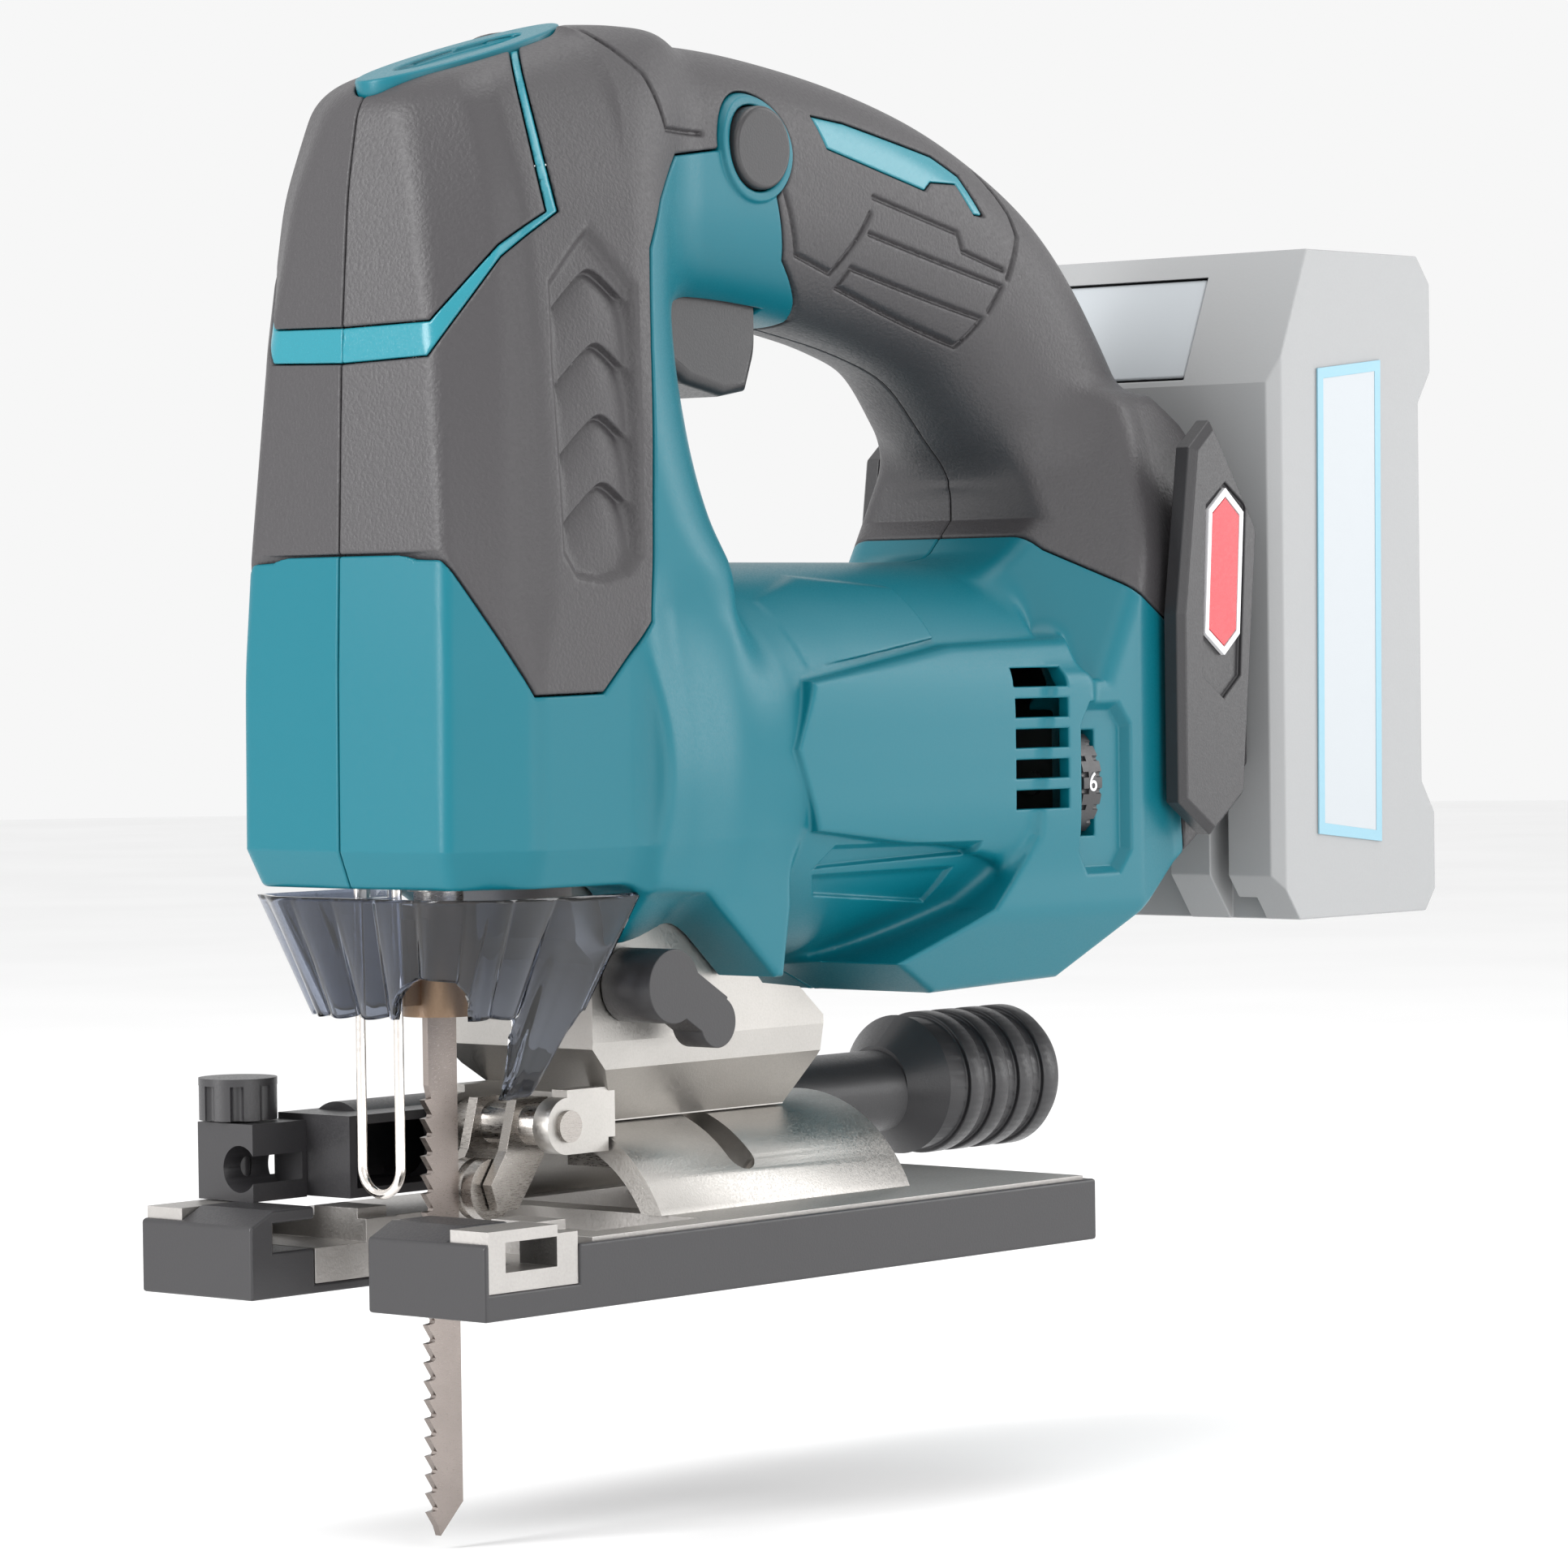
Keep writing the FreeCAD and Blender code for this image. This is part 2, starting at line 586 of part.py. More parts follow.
def make_speed_dial():
    x, y, z = DIAL
    wheel = cyl_x(y, z, DIAL_R, (x - 2.5, x + 2.5))
    notches = []
    for i in range(24):
        a = 2 * math.pi * (i + 0.5) / 24
        centre = (y + DIAL_R * math.cos(a), z + DIAL_R * math.sin(a))
        notches.append(cyl_x(centre[0], centre[1], 0.5, (x - 2.5, x - 1.0)))
        notches.append(cyl_x(centre[0], centre[1], 0.5, (x + 1.0, x + 2.5)))
    wheel = wheel.cut(join(notches)).cut(cyl_x(y, z, 2.0 + RUN_FIT, (x - 3, x + 3)))
    save("speed_dial", wheel)
    save("dial_spindle", cyl_x(y, z, 2.0, (x - 3.4, x + 6)))
    save("control_board", box((107, 118), (-15, 20), (56, 104)))


def make_orbit_lever():
    hub_x, hub_z = 26.6, 48.1
    tip_x, tip_z = 37.0, 41.8
    shaft = cyl_y(hub_x, hub_z, 3.6, (-17.5, -5))
    hub = cyl_y(hub_x, hub_z, 6.0, (-28, -17.4))
    tip = cyl_y(tip_x, tip_z, 4.2, (-28, -21.5))
    along = math.degrees(math.atan2(hub_z - tip_z, tip_x - hub_x))
    arm = box((0, math.hypot(tip_x - hub_x, tip_z - hub_z)), (-28, -21.5), (-3.2, 4.6))
    arm.rotate(V(0, 0, 0), Y_AXIS, along)
    arm.translate(V(hub_x, 0, hub_z))
    save("orbit_lever", join([shaft, hub, tip, arm]))


# ---- blade guidance ----------------------------------------------------------------------
def make_roller():
    rx, rz = ROLLER
    px, pz = FORK_PIN
    roller = cyl_y(rx, rz, ROLLER_R, (-3, 3)).cut(cyl_y(rx, rz, 1.5 + RUN_FIT, (-4, 4)))
    groove = cyl_y(rx, rz, ROLLER_R + 1, (-0.8, 0.8)).cut(cyl_y(rx, rz, ROLLER_R - 0.6, (-2, 2)))
    save("guide_roller", roller.cut(groove))
    plates = []
    for y in ((3.3, 5.3), (-5.3, -3.3)):
        side = [(px - 3.6, pz + 4.2), (px - 6, pz - 4), (rx - 2.6, rz + 1), (rx - 1, rz - 3.2),
                (rx + 3.5, rz - 3.4), (px + 2.6, pz - 5.5), (px + 4.2, pz), (px + 3.8, pz + 4.2)]
        plates.append(prism_y(side, y))
    back = box((px + 0.8, px + 3.4), (-5.3, 5.3), (pz - 4.4, pz + 4.2))
    fork = join(plates + [back, cyl_y(px, pz, 3.4, (-9.4, 9.4))])
    fork = fork.cut(cyl_y(px, pz, 1.8 + RUN_FIT, (-20, 20))).cut(cyl_y(rx, rz, 1.5, (-20, 20)))
    save("roller_fork", fork.removeSplitter())
    save("roller_axle", cyl_y(rx, rz, 1.5, (-5.3, 5.3)))
    pin = cyl_y(px, pz, 1.8, (-13.2, 13.2))
    caps = [cyl_y(px, pz, 2.6, (-14.0, -13.2)), cyl_y(px, pz, 2.6, (13.2, 14.0))]
    save("fork_pin", join([pin] + caps))


# ---- dust cover and finger guard ---------------------------------------------------------
RIM = [(19, 28), (-12.5, 28), (-18.5, 18)]
HEM = [(13, 21), (-8, 20.5), (-14.8, 11)]
RIM_Z = 63.5
HEM_Z = 44.8
COVER_WALL = 1.5


def plan_wire(right, z, inset, back):
    points = [(back, right[0][1] - inset), (right[1][0] + inset * 0.6, right[1][1] - inset),
              (right[2][0] + inset, right[2][1] - inset * 0.6)]
    ring = points + [(x, -y) for x, y in reversed(points)]
    corners = [V(x, y, z) for x, y in ring]
    return Part.makePolygon(corners + [corners[0]])


def make_dust_cover():
    outer = Part.makeLoft([plan_wire(HEM, HEM_Z, 0, 13), plan_wire(RIM, RIM_Z, 0, 19)], True, True)
    inner = Part.makeLoft([plan_wire(HEM, HEM_Z - 0.01, COVER_WALL, 30),
                           plan_wire(RIM, RIM_Z + 0.01, COVER_WALL, 30)], True, True)
    shell = outer.cut(inner)
    arch = cyl_x(-13.0, HEM_Z - 1, 7.0, (-30, -5))
    shell = shell.cut(arch)
    tip = [(0.5, HEM_Z + 2), (3.5, 31), (8.5, 30.5), (12.5, HEM_Z + 2)]
    flap = prism_y(tip, (-19.6, -18.2))
    toe = flap.rotated(V(0, -19, HEM_Z), X_AXIS, 18)
    save("dust_cover", shell.fuse(toe).removeSplitter())


def make_wire_guard():
    x, half, low, high = WIRE_X, WIRE_HALF, 16.4, 70.0
    left_leg = Part.LineSegment(V(x, -half, high), V(x, -half, low + half)).toShape()
    bend = Part.Arc(V(x, -half, low + half), V(x, 0, low), V(x, half, low + half)).toShape()
    right_leg = Part.LineSegment(V(x, half, low + half), V(x, half, high)).toShape()
    section = Part.Wire(Part.Circle(V(x, -half, high), Z_AXIS, WIRE_R).toShape())
    save("wire_guard", Part.Wire([left_leg, bend, right_leg]).makePipeShell([section], True, True))
    save("lamp_lens", cyl_z(LAMP_X, 0, LAMP_R, (63.5, 68)))
    save("lamp_board", box((LAMP_X - 2.8, LAMP_X + 2.8), (-3.2, 3.2), (68.1, 69.7)))


# ---- sole --------------------------------------------------------------------------------
NOTCH_HALF = 13.0
PRONG_BACK = -14.5
RULE_SLOT_X = (-23.6, -12.2)
RULE_SLOT_Z = (7.3, 11.9)
WELL_X = (4.2, 28.4)
WELL_Y = (-31.0, 14.0)
KEY_WELL = ((34.5, 68.0), (-20.0, 16.0))


def sole_outline(margin):
    low, high = SOLE_FRONT + margin, SOLE_FRONT + SOLE_LENGTH - margin
    half = SOLE_HALF - margin
    return [(low, -half), (high, -half), (high, half), (low, half)]


def sole_openings():
    z = (-5, 30)
    return join([
        box((-40, 6), (-NOTCH_HALF, NOTCH_HALF), z),
        box(WELL_X, WELL_Y, z),
        box(KEY_WELL[0], KEY_WELL[1], z),
        box(RULE_SLOT_X, (-60, 60), RULE_SLOT_Z),
    ])


def make_sole():
    plate = prism_z(sole_outline(1.6), (COVER_FLOOR, SOLE_TOP))
    low_step = box((-40, -3.0), (-60, 60), (7.3, 60))
    plate = plate.cut(low_step)
    lugs = []
    for side in (1, -1):
        y = sorted((side * 30.0, side * (SOLE_HALF - 0.4)))
        lug = box((-27.5, -7.5), y, (4.2, PRONG_TOP - 0.2))
        lugs.append(lug.cut(prism_y([(-12, 12.4), (-7, 12.4), (-7, 20), (-12, 20)], (-60, 60))))
        step = sorted((side * (NOTCH_HALF + 2), side * 25.0))
        lugs.append(box((-3, 3.6), step, (COVER_FLOOR, PRONG_TOP - 1.4)))
    plate = join([plate] + lugs).cut(sole_openings())

    cover = prism_z(sole_outline(0), (0, COVER_TOP)).cut(prism_z(sole_outline(1.6), (COVER_FLOOR, 20)))
    blocks = []
    for side in (1, -1):
        y = sorted((side * NOTCH_HALF, side * SOLE_HALF))
        profile = [(SOLE_FRONT, 0), (PRONG_BACK, 0), (PRONG_BACK, PRONG_TOP), (-23.5, PRONG_TOP),
                   (SOLE_FRONT, 11.6)]
        blocks.append(prism_y(profile, y))
    cover = join([cover] + blocks)
    recess = []
    for side in (1, -1):
        outside = sorted((side * 30.0, side * 50.0))
        recess.append(box((-27.5, -7.5), outside, (4.2, 30)))
        inside = sorted((side * NOTCH_HALF, side * (SOLE_HALF - 1.6)))
        recess.append(box((PRONG_BACK, 5), inside, (COVER_FLOOR, 30)))
    cover = cover.cut(join(recess)).cut(sole_openings())
    save("sole_cover", cover)
    save("sole_plate", plate.cut(join(blocks).cut(join(recess))))

    ring = cyl_x(0, 0, QUADRANT_R, QUADRANT_X).cut(cyl_x(0, 0, QUADRANT_R - QUADRANT_WALL, (0, 100)))
    ring = ring.common(box((0, 100), (-40, 40), (SOLE_TOP, 40)))
    clear = BOLT_R + 0.4
    along = box((BOLT_X - SHIFT - clear, BOLT_X + clear), (-clear, clear), (15, 40))
    arcs = [along]
    for i in range(0, 10):
        hole = cyl_z(BOLT_X, 0, clear, (15, 40))
        hole.rotate(V(0, 0, 0), X_AXIS, 45.0 * i / 9)
        arcs.append(hole)
    arc_band = box((BOLT_X - clear, BOLT_X + clear), (-30, 30), (0, 40))
    wedge = prism_x([(0, 0), (0, 40), (-40, 40)], (BOLT_X - clear, BOLT_X + clear))
    ring = ring.cut(join(arcs)).cut(arc_band.common(wedge))
    save("bevel_quadrant", ring)


def make_base_clamp():
    inner_r = QUADRANT_R - QUADRANT_WALL - 0.1
    shoe = cyl_x(0, 0, inner_r, (BOLT_X - 15, BOLT_X + 13)).common(
        box((0, 100), (-6, 6), (17, 40)))
    clear = BOLT_R + 0.3
    slot = box((BOLT_X - SHIFT - clear, BOLT_X + clear), (-clear, clear), (0, 40))
    save("clamp_shoe", shoe.cut(slot))
    head = cyl_z(BOLT_X, 0, 4.6, (11.5, 16.7)).cut(hex_socket(BOLT_X, 0, 2.5, (11.0, 14.5)))
    save("clamp_bolt", head.fuse(cyl_z(BOLT_X, 0, BOLT_R, (16.5, 40))).removeSplitter())


def hex_socket(x, y, across_half, z):
    r = across_half / math.cos(math.pi / 6)
    corners = [(x + r * math.cos(math.pi / 3 * i), y + r * math.sin(math.pi / 3 * i)) for i in range(6)]
    return prism_z(corners, z)


# ---- dust nozzle -------------------------------------------------------------------------
KNOB = (-11.0, 33.0)


def make_nozzle():
    pipe = cyl_x(NOZZLE_Y, NOZZLE_Z, 7.4, (4, 143))
    dome = Part.makeCone(7.4, 12.6, 6.0, V(140, NOZZLE_Y, NOZZLE_Z + 0.8), X_AXIS)
    mouth = box((-4, 20), (15.5, 32), (14.2, 27.5))
    nozzle = join([pipe, dome, mouth])
    hollow = join([
        cyl_x(NOZZLE_Y, NOZZLE_Z, 5.9, (-3, 150)),
        box((-2.4, 18.4), (12, 30.4), (15.7, 26)),
    ])
    save("dust_nozzle", nozzle.cut(hollow))
    tube = cyl_x(NOZZLE_Y, NOZZLE_Z + 0.8, 12.0, (146, 178))
    ribs = [cyl_x(NOZZLE_Y, NOZZLE_Z + 0.8, 12.9, (151.5 + 7.0 * i, 155.5 + 7.0 * i)) for i in range(4)]
    adapter = join([tube] + ribs).cut(cyl_x(NOZZLE_Y, NOZZLE_Z + 0.8, PORT_R, (140, 190)))
    save("hose_adapter", adapter)

    block = join([
        box((-16, -6), (25.5, 38.3), (PRONG_TOP, 26.5)),
        box((-6, -4), (25.5, 32), (PRONG_TOP, 26.5)),
    ])
    block = block.cut(cyl_x(28.6, 19.2, 3.8, (-20, -5)))
    block = block.cut(cyl_z(KNOB[0], KNOB[1] + 1.0, 2.0, (10, 27)))
    save("nozzle_bracket", block)
    kx, ky = KNOB[0], KNOB[1] + 1.0
    knob = cyl_z(kx, ky, 6.4, (26.8, 33.6))
    grips = [cyl_z(kx + 6.4 * math.cos(math.radians(a)), ky + 6.4 * math.sin(math.radians(a)), 1.1,
                   (26, 32.4)) for a in range(0, 360, 45)]
    knob = knob.cut(join(grips)).fuse(cyl_z(kx, ky, 1.9, (15, 27)))
    save("nozzle_knob", knob.removeSplitter())


# ---- battery -----------------------------------------------------------------------------
CELL_R = 8.8
CELL_ROWS = 5
RAIL_Y = 26.0


def rail(side):
    """T-section rail on the rear face; side is 1 or -1."""
    web = sorted((side * (RAIL_Y - 3), side * RAIL_Y))
    lip = sorted((side * (RAIL_Y - 3), side * (RAIL_Y + 4)))
    low_high = (80, 126)
    return join([box((REAR_X, 182), web, low_high), box((179.5, 182), lip, low_high)])


def make_battery():
    save("battery_rails", group([rail(1), rail(-1)]))
    blades = [box((174, 181), (y - 0.5, y + 0.5), (84, 104)) for y in (-8, -3, 3, 8)]
    save("terminal_block", join([box((168, 175.4), (-12.5, 12.5), (80, 112))] + blades))

    front, back = BATTERY_X
    low, high = BATTERY_Z
    side = [(front, low + 8), (front + 6, low), (back - 3, low), (back, low + 4), (back, low + 18),
            (back - 2, low + 21), (back - 2, high - 24), (back, high - 21), (back, high - 5),
            (back - 4, high), (front + 10, high), (front, high - 24)]
    case = prism_y(side, (-BATTERY_HALF, BATTERY_HALF))
    edges = [e for e in case.Edges if e.BoundBox.YLength < 0.1 and e.BoundBox.ZLength > 40]
    case = case.makeChamfer(2.0, edges)
    cells = []
    pocket = [box((front + 9, back - 3.1), (-33.4, 33.4), (56, 148))]
    for row in range(CELL_ROWS):
        for column in range(2):
            x = front + 9.2 + CELL_R + (2 * CELL_R + 0.2) * column
            cells.append(cyl_y(x, 65.2 + 18.2 * row, CELL_R, (-32.5, 32.5)))
    cuts = pocket + [box((front - 1, 183), (-13.5, 13.5), (40, 116))]
    for side_sign in (1, -1):
        web = sorted((side_sign * (RAIL_Y - 3.5), side_sign * (RAIL_Y + 0.5)))
        lip = sorted((side_sign * (RAIL_Y - 3.5), side_sign * (RAIL_Y + 4.5)))
        cuts.append(box((front - 1, 182.5), web, (40, 128.5)))
        cuts.append(box((179, 182.5), lip, (40, 128.5)))
    cuts.append(prism_y([(170, 149.1), (front + 9.6, 149.1), (front + 17.1, 167.8), (170, 167.8)],
                        (-17.2, 17.2)))
    save("battery_case", case.cut(join(cuts)))
    save("battery_cells", group(cells))

    latch = prism_y([(front + 1.1, 149.5), (front + 6.1, 149.5), (front + 13.6, 167.4),
                     (front + 8.6, 167.4)], (-16.8, 16.8))
    save("battery_latch", latch)
    label = [prism_y([(188, 68), (206, 66), (207, 152), (189, 150)], y)
             for y in ((BATTERY_HALF, BATTERY_HALF + 0.3), (-BATTERY_HALF - 0.3, -BATTERY_HALF))]
    save("battery_label", group(label))


def make_screws():
    screws = []
    for x, z in SCREWS:
        top = shell_half(x, z) - 4
        shank = cyl_y(x, z, 1.6, (top - 16, top))
        head = cyl_y(x, z, 3.4, (top, top + 2.2)).cut(cyl_y(x, z, 1.4, (top + 0.8, top + 3)))
        screws.append(shank.fuse(head).removeSplitter())
    save("housing_screws", group(screws))


make_shells()
make_nose_cap()
make_guards()
make_gear_case()
make_motor()
make_crank()
make_carrier()
make_plunger()
make_trigger()
make_lock_button()
make_speed_dial()
make_orbit_lever()
make_roller()
make_dust_cover()
make_wire_guard()
make_sole()
make_base_clamp()
make_nozzle()
make_battery()
make_screws()
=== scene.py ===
import json
import math

import bmesh
import bpy
import numpy as np
from mathutils import Matrix, Vector

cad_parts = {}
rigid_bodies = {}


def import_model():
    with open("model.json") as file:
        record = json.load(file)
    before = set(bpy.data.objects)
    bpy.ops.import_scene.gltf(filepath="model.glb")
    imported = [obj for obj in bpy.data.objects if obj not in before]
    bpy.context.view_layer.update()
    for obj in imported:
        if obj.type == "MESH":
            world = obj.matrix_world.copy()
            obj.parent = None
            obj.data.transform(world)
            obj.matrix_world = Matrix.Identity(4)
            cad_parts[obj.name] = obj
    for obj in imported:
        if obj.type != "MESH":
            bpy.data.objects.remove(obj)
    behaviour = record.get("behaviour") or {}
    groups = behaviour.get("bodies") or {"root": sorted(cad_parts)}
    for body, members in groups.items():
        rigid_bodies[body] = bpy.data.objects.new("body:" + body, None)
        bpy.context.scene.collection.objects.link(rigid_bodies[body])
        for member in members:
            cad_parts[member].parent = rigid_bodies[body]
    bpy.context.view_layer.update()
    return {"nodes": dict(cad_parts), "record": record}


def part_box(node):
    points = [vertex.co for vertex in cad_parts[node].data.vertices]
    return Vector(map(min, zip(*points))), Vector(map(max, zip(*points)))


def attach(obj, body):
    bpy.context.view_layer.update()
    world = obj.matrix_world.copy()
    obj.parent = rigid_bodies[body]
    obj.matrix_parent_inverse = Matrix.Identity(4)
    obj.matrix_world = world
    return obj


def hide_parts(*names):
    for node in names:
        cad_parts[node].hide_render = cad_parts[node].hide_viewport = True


for old in list(bpy.data.objects):
    bpy.data.objects.remove(old)

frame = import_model()
NODES = frame["nodes"]
MM = 0.001
STEP = 0.7      # grid pitch of the moulded shells, mm


# ---- materials ---------------------------------------------------------------------------
def linear(rgb):
    """Scene-linear colour from an 8-bit display colour."""
    out = [((c / 255 + 0.055) / 1.055) ** 2.4 if c > 10 else c / 255 / 12.92 for c in rgb]
    return (*out, 1.0)


def new_material(name):
    material = bpy.data.materials.new(name)
    material.use_nodes = True
    tree = material.node_tree
    tree.nodes.clear()
    output = tree.nodes.new("ShaderNodeOutputMaterial")
    shader = tree.nodes.new("ShaderNodeBsdfPrincipled")
    tree.links.new(shader.outputs["BSDF"], output.inputs["Surface"])
    place = tree.nodes.new("ShaderNodeTexCoord")
    return material, tree, shader, place.outputs["Object"]


def noise(tree, place, scale, detail=2.0, stretch=None):
    if stretch:
        mapping = tree.nodes.new("ShaderNodeMapping")
        mapping.inputs["Scale"].default_value = stretch
        tree.links.new(place, mapping.inputs["Vector"])
        place = mapping.outputs["Vector"]
    node = tree.nodes.new("ShaderNodeTexNoise")
    node.inputs["Scale"].default_value = scale
    node.inputs["Detail"].default_value = detail
    tree.links.new(place, node.inputs["Vector"])
    return node.outputs["Fac"]


def ramp(tree, value, stops):
    node = tree.nodes.new("ShaderNodeValToRGB")
    elements = node.color_ramp.elements
    for element, (position, colour) in zip(elements, stops):
        element.position = position
        element.color = colour
    tree.links.new(value, node.inputs["Fac"])
    return node.outputs["Color"]


def spread(tree, value, low, high):
    node = tree.nodes.new("ShaderNodeMapRange")
    node.inputs["From Min"].default_value = 0.3
    node.inputs["From Max"].default_value = 0.7
    node.inputs["To Min"].default_value = low
    node.inputs["To Max"].default_value = high
    tree.links.new(value, node.inputs["Value"])
    return node.outputs["Result"]


def bump(tree, shader, height, strength, distance):
    node = tree.nodes.new("ShaderNodeBump")
    node.inputs["Strength"].default_value = strength
    node.inputs["Distance"].default_value = distance
    tree.links.new(height, node.inputs["Height"])
    tree.links.new(node.outputs["Normal"], shader.inputs["Normal"])


def tint(colour, gain):
    return tuple(min(1.0, c * gain) for c in colour[:3]) + (1.0,)


def plastic(name, rgb, rough=0.45, grain=2600, depth=0.00006, strength=0.25, vary=0.10, gloss=0.5):
    material, tree, shader, place = new_material(name)
    colour = linear(rgb)
    cloud = noise(tree, place, 38, 4)
    speck = noise(tree, place, grain, 3)
    mottle = tree.nodes.new("ShaderNodeMath")
    mottle.operation = "ADD"
    tree.links.new(cloud, mottle.inputs[0])
    tree.links.new(speck, mottle.inputs[1])
    shade = ramp(tree, spread(tree, mottle.outputs["Value"], -0.25, 0.25),
                 [(0.15, tint(colour, 1 - vary)), (0.85, tint(colour, 1 + vary))])
    tree.links.new(shade, shader.inputs["Base Color"])
    tree.links.new(spread(tree, speck, rough - 0.07, rough + 0.07), shader.inputs["Roughness"])
    shader.inputs["Specular IOR Level"].default_value = gloss
    bump(tree, shader, speck, strength, depth)
    return material


def metal(name, rgb, rough=0.35, grain=2200, strength=0.3, depth=0.00008, vary=0.08, stretch=None):
    material, tree, shader, place = new_material(name)
    colour = linear(rgb)
    speck = noise(tree, place, grain, 4, stretch)
    cloud = noise(tree, place, 60, 3)
    shade = ramp(tree, cloud, [(0.3, tint(colour, 1 - vary)), (0.7, tint(colour, 1 + vary))])
    tree.links.new(shade, shader.inputs["Base Color"])
    shader.inputs["Metallic"].default_value = 1.0
    tree.links.new(spread(tree, speck, rough - 0.1, rough + 0.1), shader.inputs["Roughness"])
    bump(tree, shader, speck, strength, depth)
    return material


def clear(name, rgb, rough):
    material, tree, shader, place = new_material(name)
    colour = linear(rgb)
    flow = noise(tree, place, 90, 2, (1, 1, 0.2))
    shade = ramp(tree, flow, [(0.3, tint(colour, 0.8)), (0.7, tint(colour, 1.15))])
    tree.links.new(shade, shader.inputs["Base Color"])
    tree.links.new(spread(tree, flow, rough * 0.6, rough * 1.5), shader.inputs["Roughness"])
    shader.inputs["Transmission Weight"].default_value = 1.0
    shader.inputs["IOR"].default_value = 1.45
    return material


M = {
    "teal_shell": plastic("teal_plastic", (0, 99, 113), 0.38, 3000, 0.00003, 0.12, 0.05, 0.35),
    "teal_bright": plastic("teal_trim", (30, 122, 136), 0.22, 3000, 0.00002, 0.08, 0.05),
    "black_grip": plastic("soft_grip", (58, 56, 58), 0.46, 1700, 0.00016, 0.7, 0.08),
    "black_resin": plastic("black_resin", (46, 45, 47), 0.38, 2600, 0.00006, 0.3, 0.1),
    "cast_aluminium": metal("cast_aluminium", (180, 177, 173), 0.42, 2600, 0.35, 0.00007, 0.05),
    "sole_aluminium": metal("sole_casting", (172, 169, 166), 0.45, 2200, 0.45, 0.00008, 0.06),
    "steel": metal("steel", (168, 163, 158), 0.3, 900, 0.15, 0.00003, 0.06, (1, 1, 8)),
    "bright_wire": metal("bright_wire", (232, 226, 220), 0.16, 1200, 0.05, 0.00002, 0.04),
    "blade_steel": metal("blade_steel", (150, 141, 136), 0.34, 1400, 0.25, 0.00004, 0.12, (1, 1, 9)),
    "bronze": metal("bronze", (140, 118, 98), 0.4, 2500, 0.2),
    "smoke_clear": clear("smoke_clear", (112, 119, 134), 0.04),
    "lamp_clear": clear("lamp_clear", (236, 240, 244), 0.05),
    "laminations": metal("laminations", (96, 94, 92), 0.5, 900, 0.5, 0.0001, 0.1, (12, 1, 1)),
    "board_green": plastic("board_green", (24, 84, 52), 0.4, 1500, 0.00005, 0.2),
    "battery_grey": plastic("battery_grey", (152, 153, 154), 0.5, 2400, 0.00006, 0.25, 0.03),
    "battery_trim": plastic("battery_trim", (172, 177, 181), 0.42, 2400, 0.00004, 0.2, 0.03),
    "badge_red": plastic("badge_red", (190, 40, 52), 0.3, 2600, 0.00002, 0.1),
    "cell_wrap": plastic("cell_wrap", (60, 110, 160), 0.35, 2000, 0.00003, 0.1),
}
BADGE_WHITE = plastic("badge_border", (226, 226, 228), 0.35, 2600, 0.00002, 0.1, 0.03)
LABEL_BLUE = plastic("label_border", (128, 170, 186), 0.4, 2600, 0.00002, 0.1, 0.04)


# ---- fields of the moulded shells, in millimetres ------------------------------------------
def blend_min(a, b, k):
    h = np.clip(0.5 + 0.5 * (b - a) / k, 0.0, 1.0)
    return b * (1 - h) + a * h - k * h * (1 - h)


def blend_max(a, b, k):
    return -blend_min(-a, -b, k)


def smooth_step(value, low, high):
    t = np.clip((value - low) / (high - low), 0.0, 1.0)
    return t * t * (3 - 2 * t)


def window(value, low, high, soft):
    return smooth_step(value, low - soft, low + soft) * (1 - smooth_step(value, high - soft, high + soft))


def eased(z, knots, values, soft=3.0):
    """Smooth curve through a few knots, as a function of height."""
    fine = np.arange(knots[0] - 30, knots[-1] + 30, 0.5)
    line = np.interp(fine, knots, values)
    reach = int(6 * soft)
    weights = np.exp(-0.5 * (np.arange(-reach, reach + 1) * 0.5 / soft) ** 2)
    padded = np.concatenate([np.full(reach, line[0]), line, np.full(reach, line[-1])])
    return np.interp(z, fine, np.convolve(padded, weights / weights.sum(), "valid"))


def path_distance(x, z, points, closed=False):
    """Distance to a line through points in a plane; signed, negative inside, if it is closed."""
    points = np.asarray(points, float)
    best = np.full(np.broadcast(x, z).shape, 1e9)
    inside = np.zeros(best.shape, bool)
    for i in range(0 if closed else 1, len(points)):
        ax, az = points[i - 1]
        bx, bz = points[i]
        ex, ez = bx - ax, bz - az
        t = np.clip(((x - ax) * ex + (z - az) * ez) / (ex * ex + ez * ez), 0, 1)
        best = np.minimum(best, (x - ax - t * ex) ** 2 + (z - az - t * ez) ** 2)
        if closed:
            crosses = ((az > z) != (bz > z)) & (x < ex * (z - az) / (ez if ez else 1e-9) + ax)
            inside ^= crosses
    return np.sqrt(best) * (np.where(inside, -1, 1) if closed else 1)


def outline(x, z, points):
    return path_distance(x, z, points, True)


HEAD_Z = [71, 99, 117.5, 150, 175, 191, 204]
HEAD_NOSE = [-20.6, -20.3, -19.7, -18.5, -16.6, -13.6, -8]
HEAD_CORNER_X = [-19.5, -19.2, -18.3, -16.8, -15.0, -12.6, -7]
HEAD_CORNER_Y = [22.4, 22.4, 21.5, 18.4, 13.5, 7.0, 4.0]
HEAD_CHEEK_X = [-7.0, -7.0, -7.0, -7.0, -6.5, -6.0, -1]
HEAD_CHEEK_Y = [31.0, 31.0, 30.6, 29.0, 25.5, 19.0, 9.0]
HEAD_HALF = [32.0, 32.0, 32.0, 30.5, 28.0, 22.5, 14.0]
HEAD_BACK = 47.3
BACK_CORNER_Z = [99, 117.5, 122, 128.5, 135, 144, 151, 158]
BACK_CORNER = [58, 47.6, 45.2, 43.2, 41.7, 40.2, 39.4, 39.0]
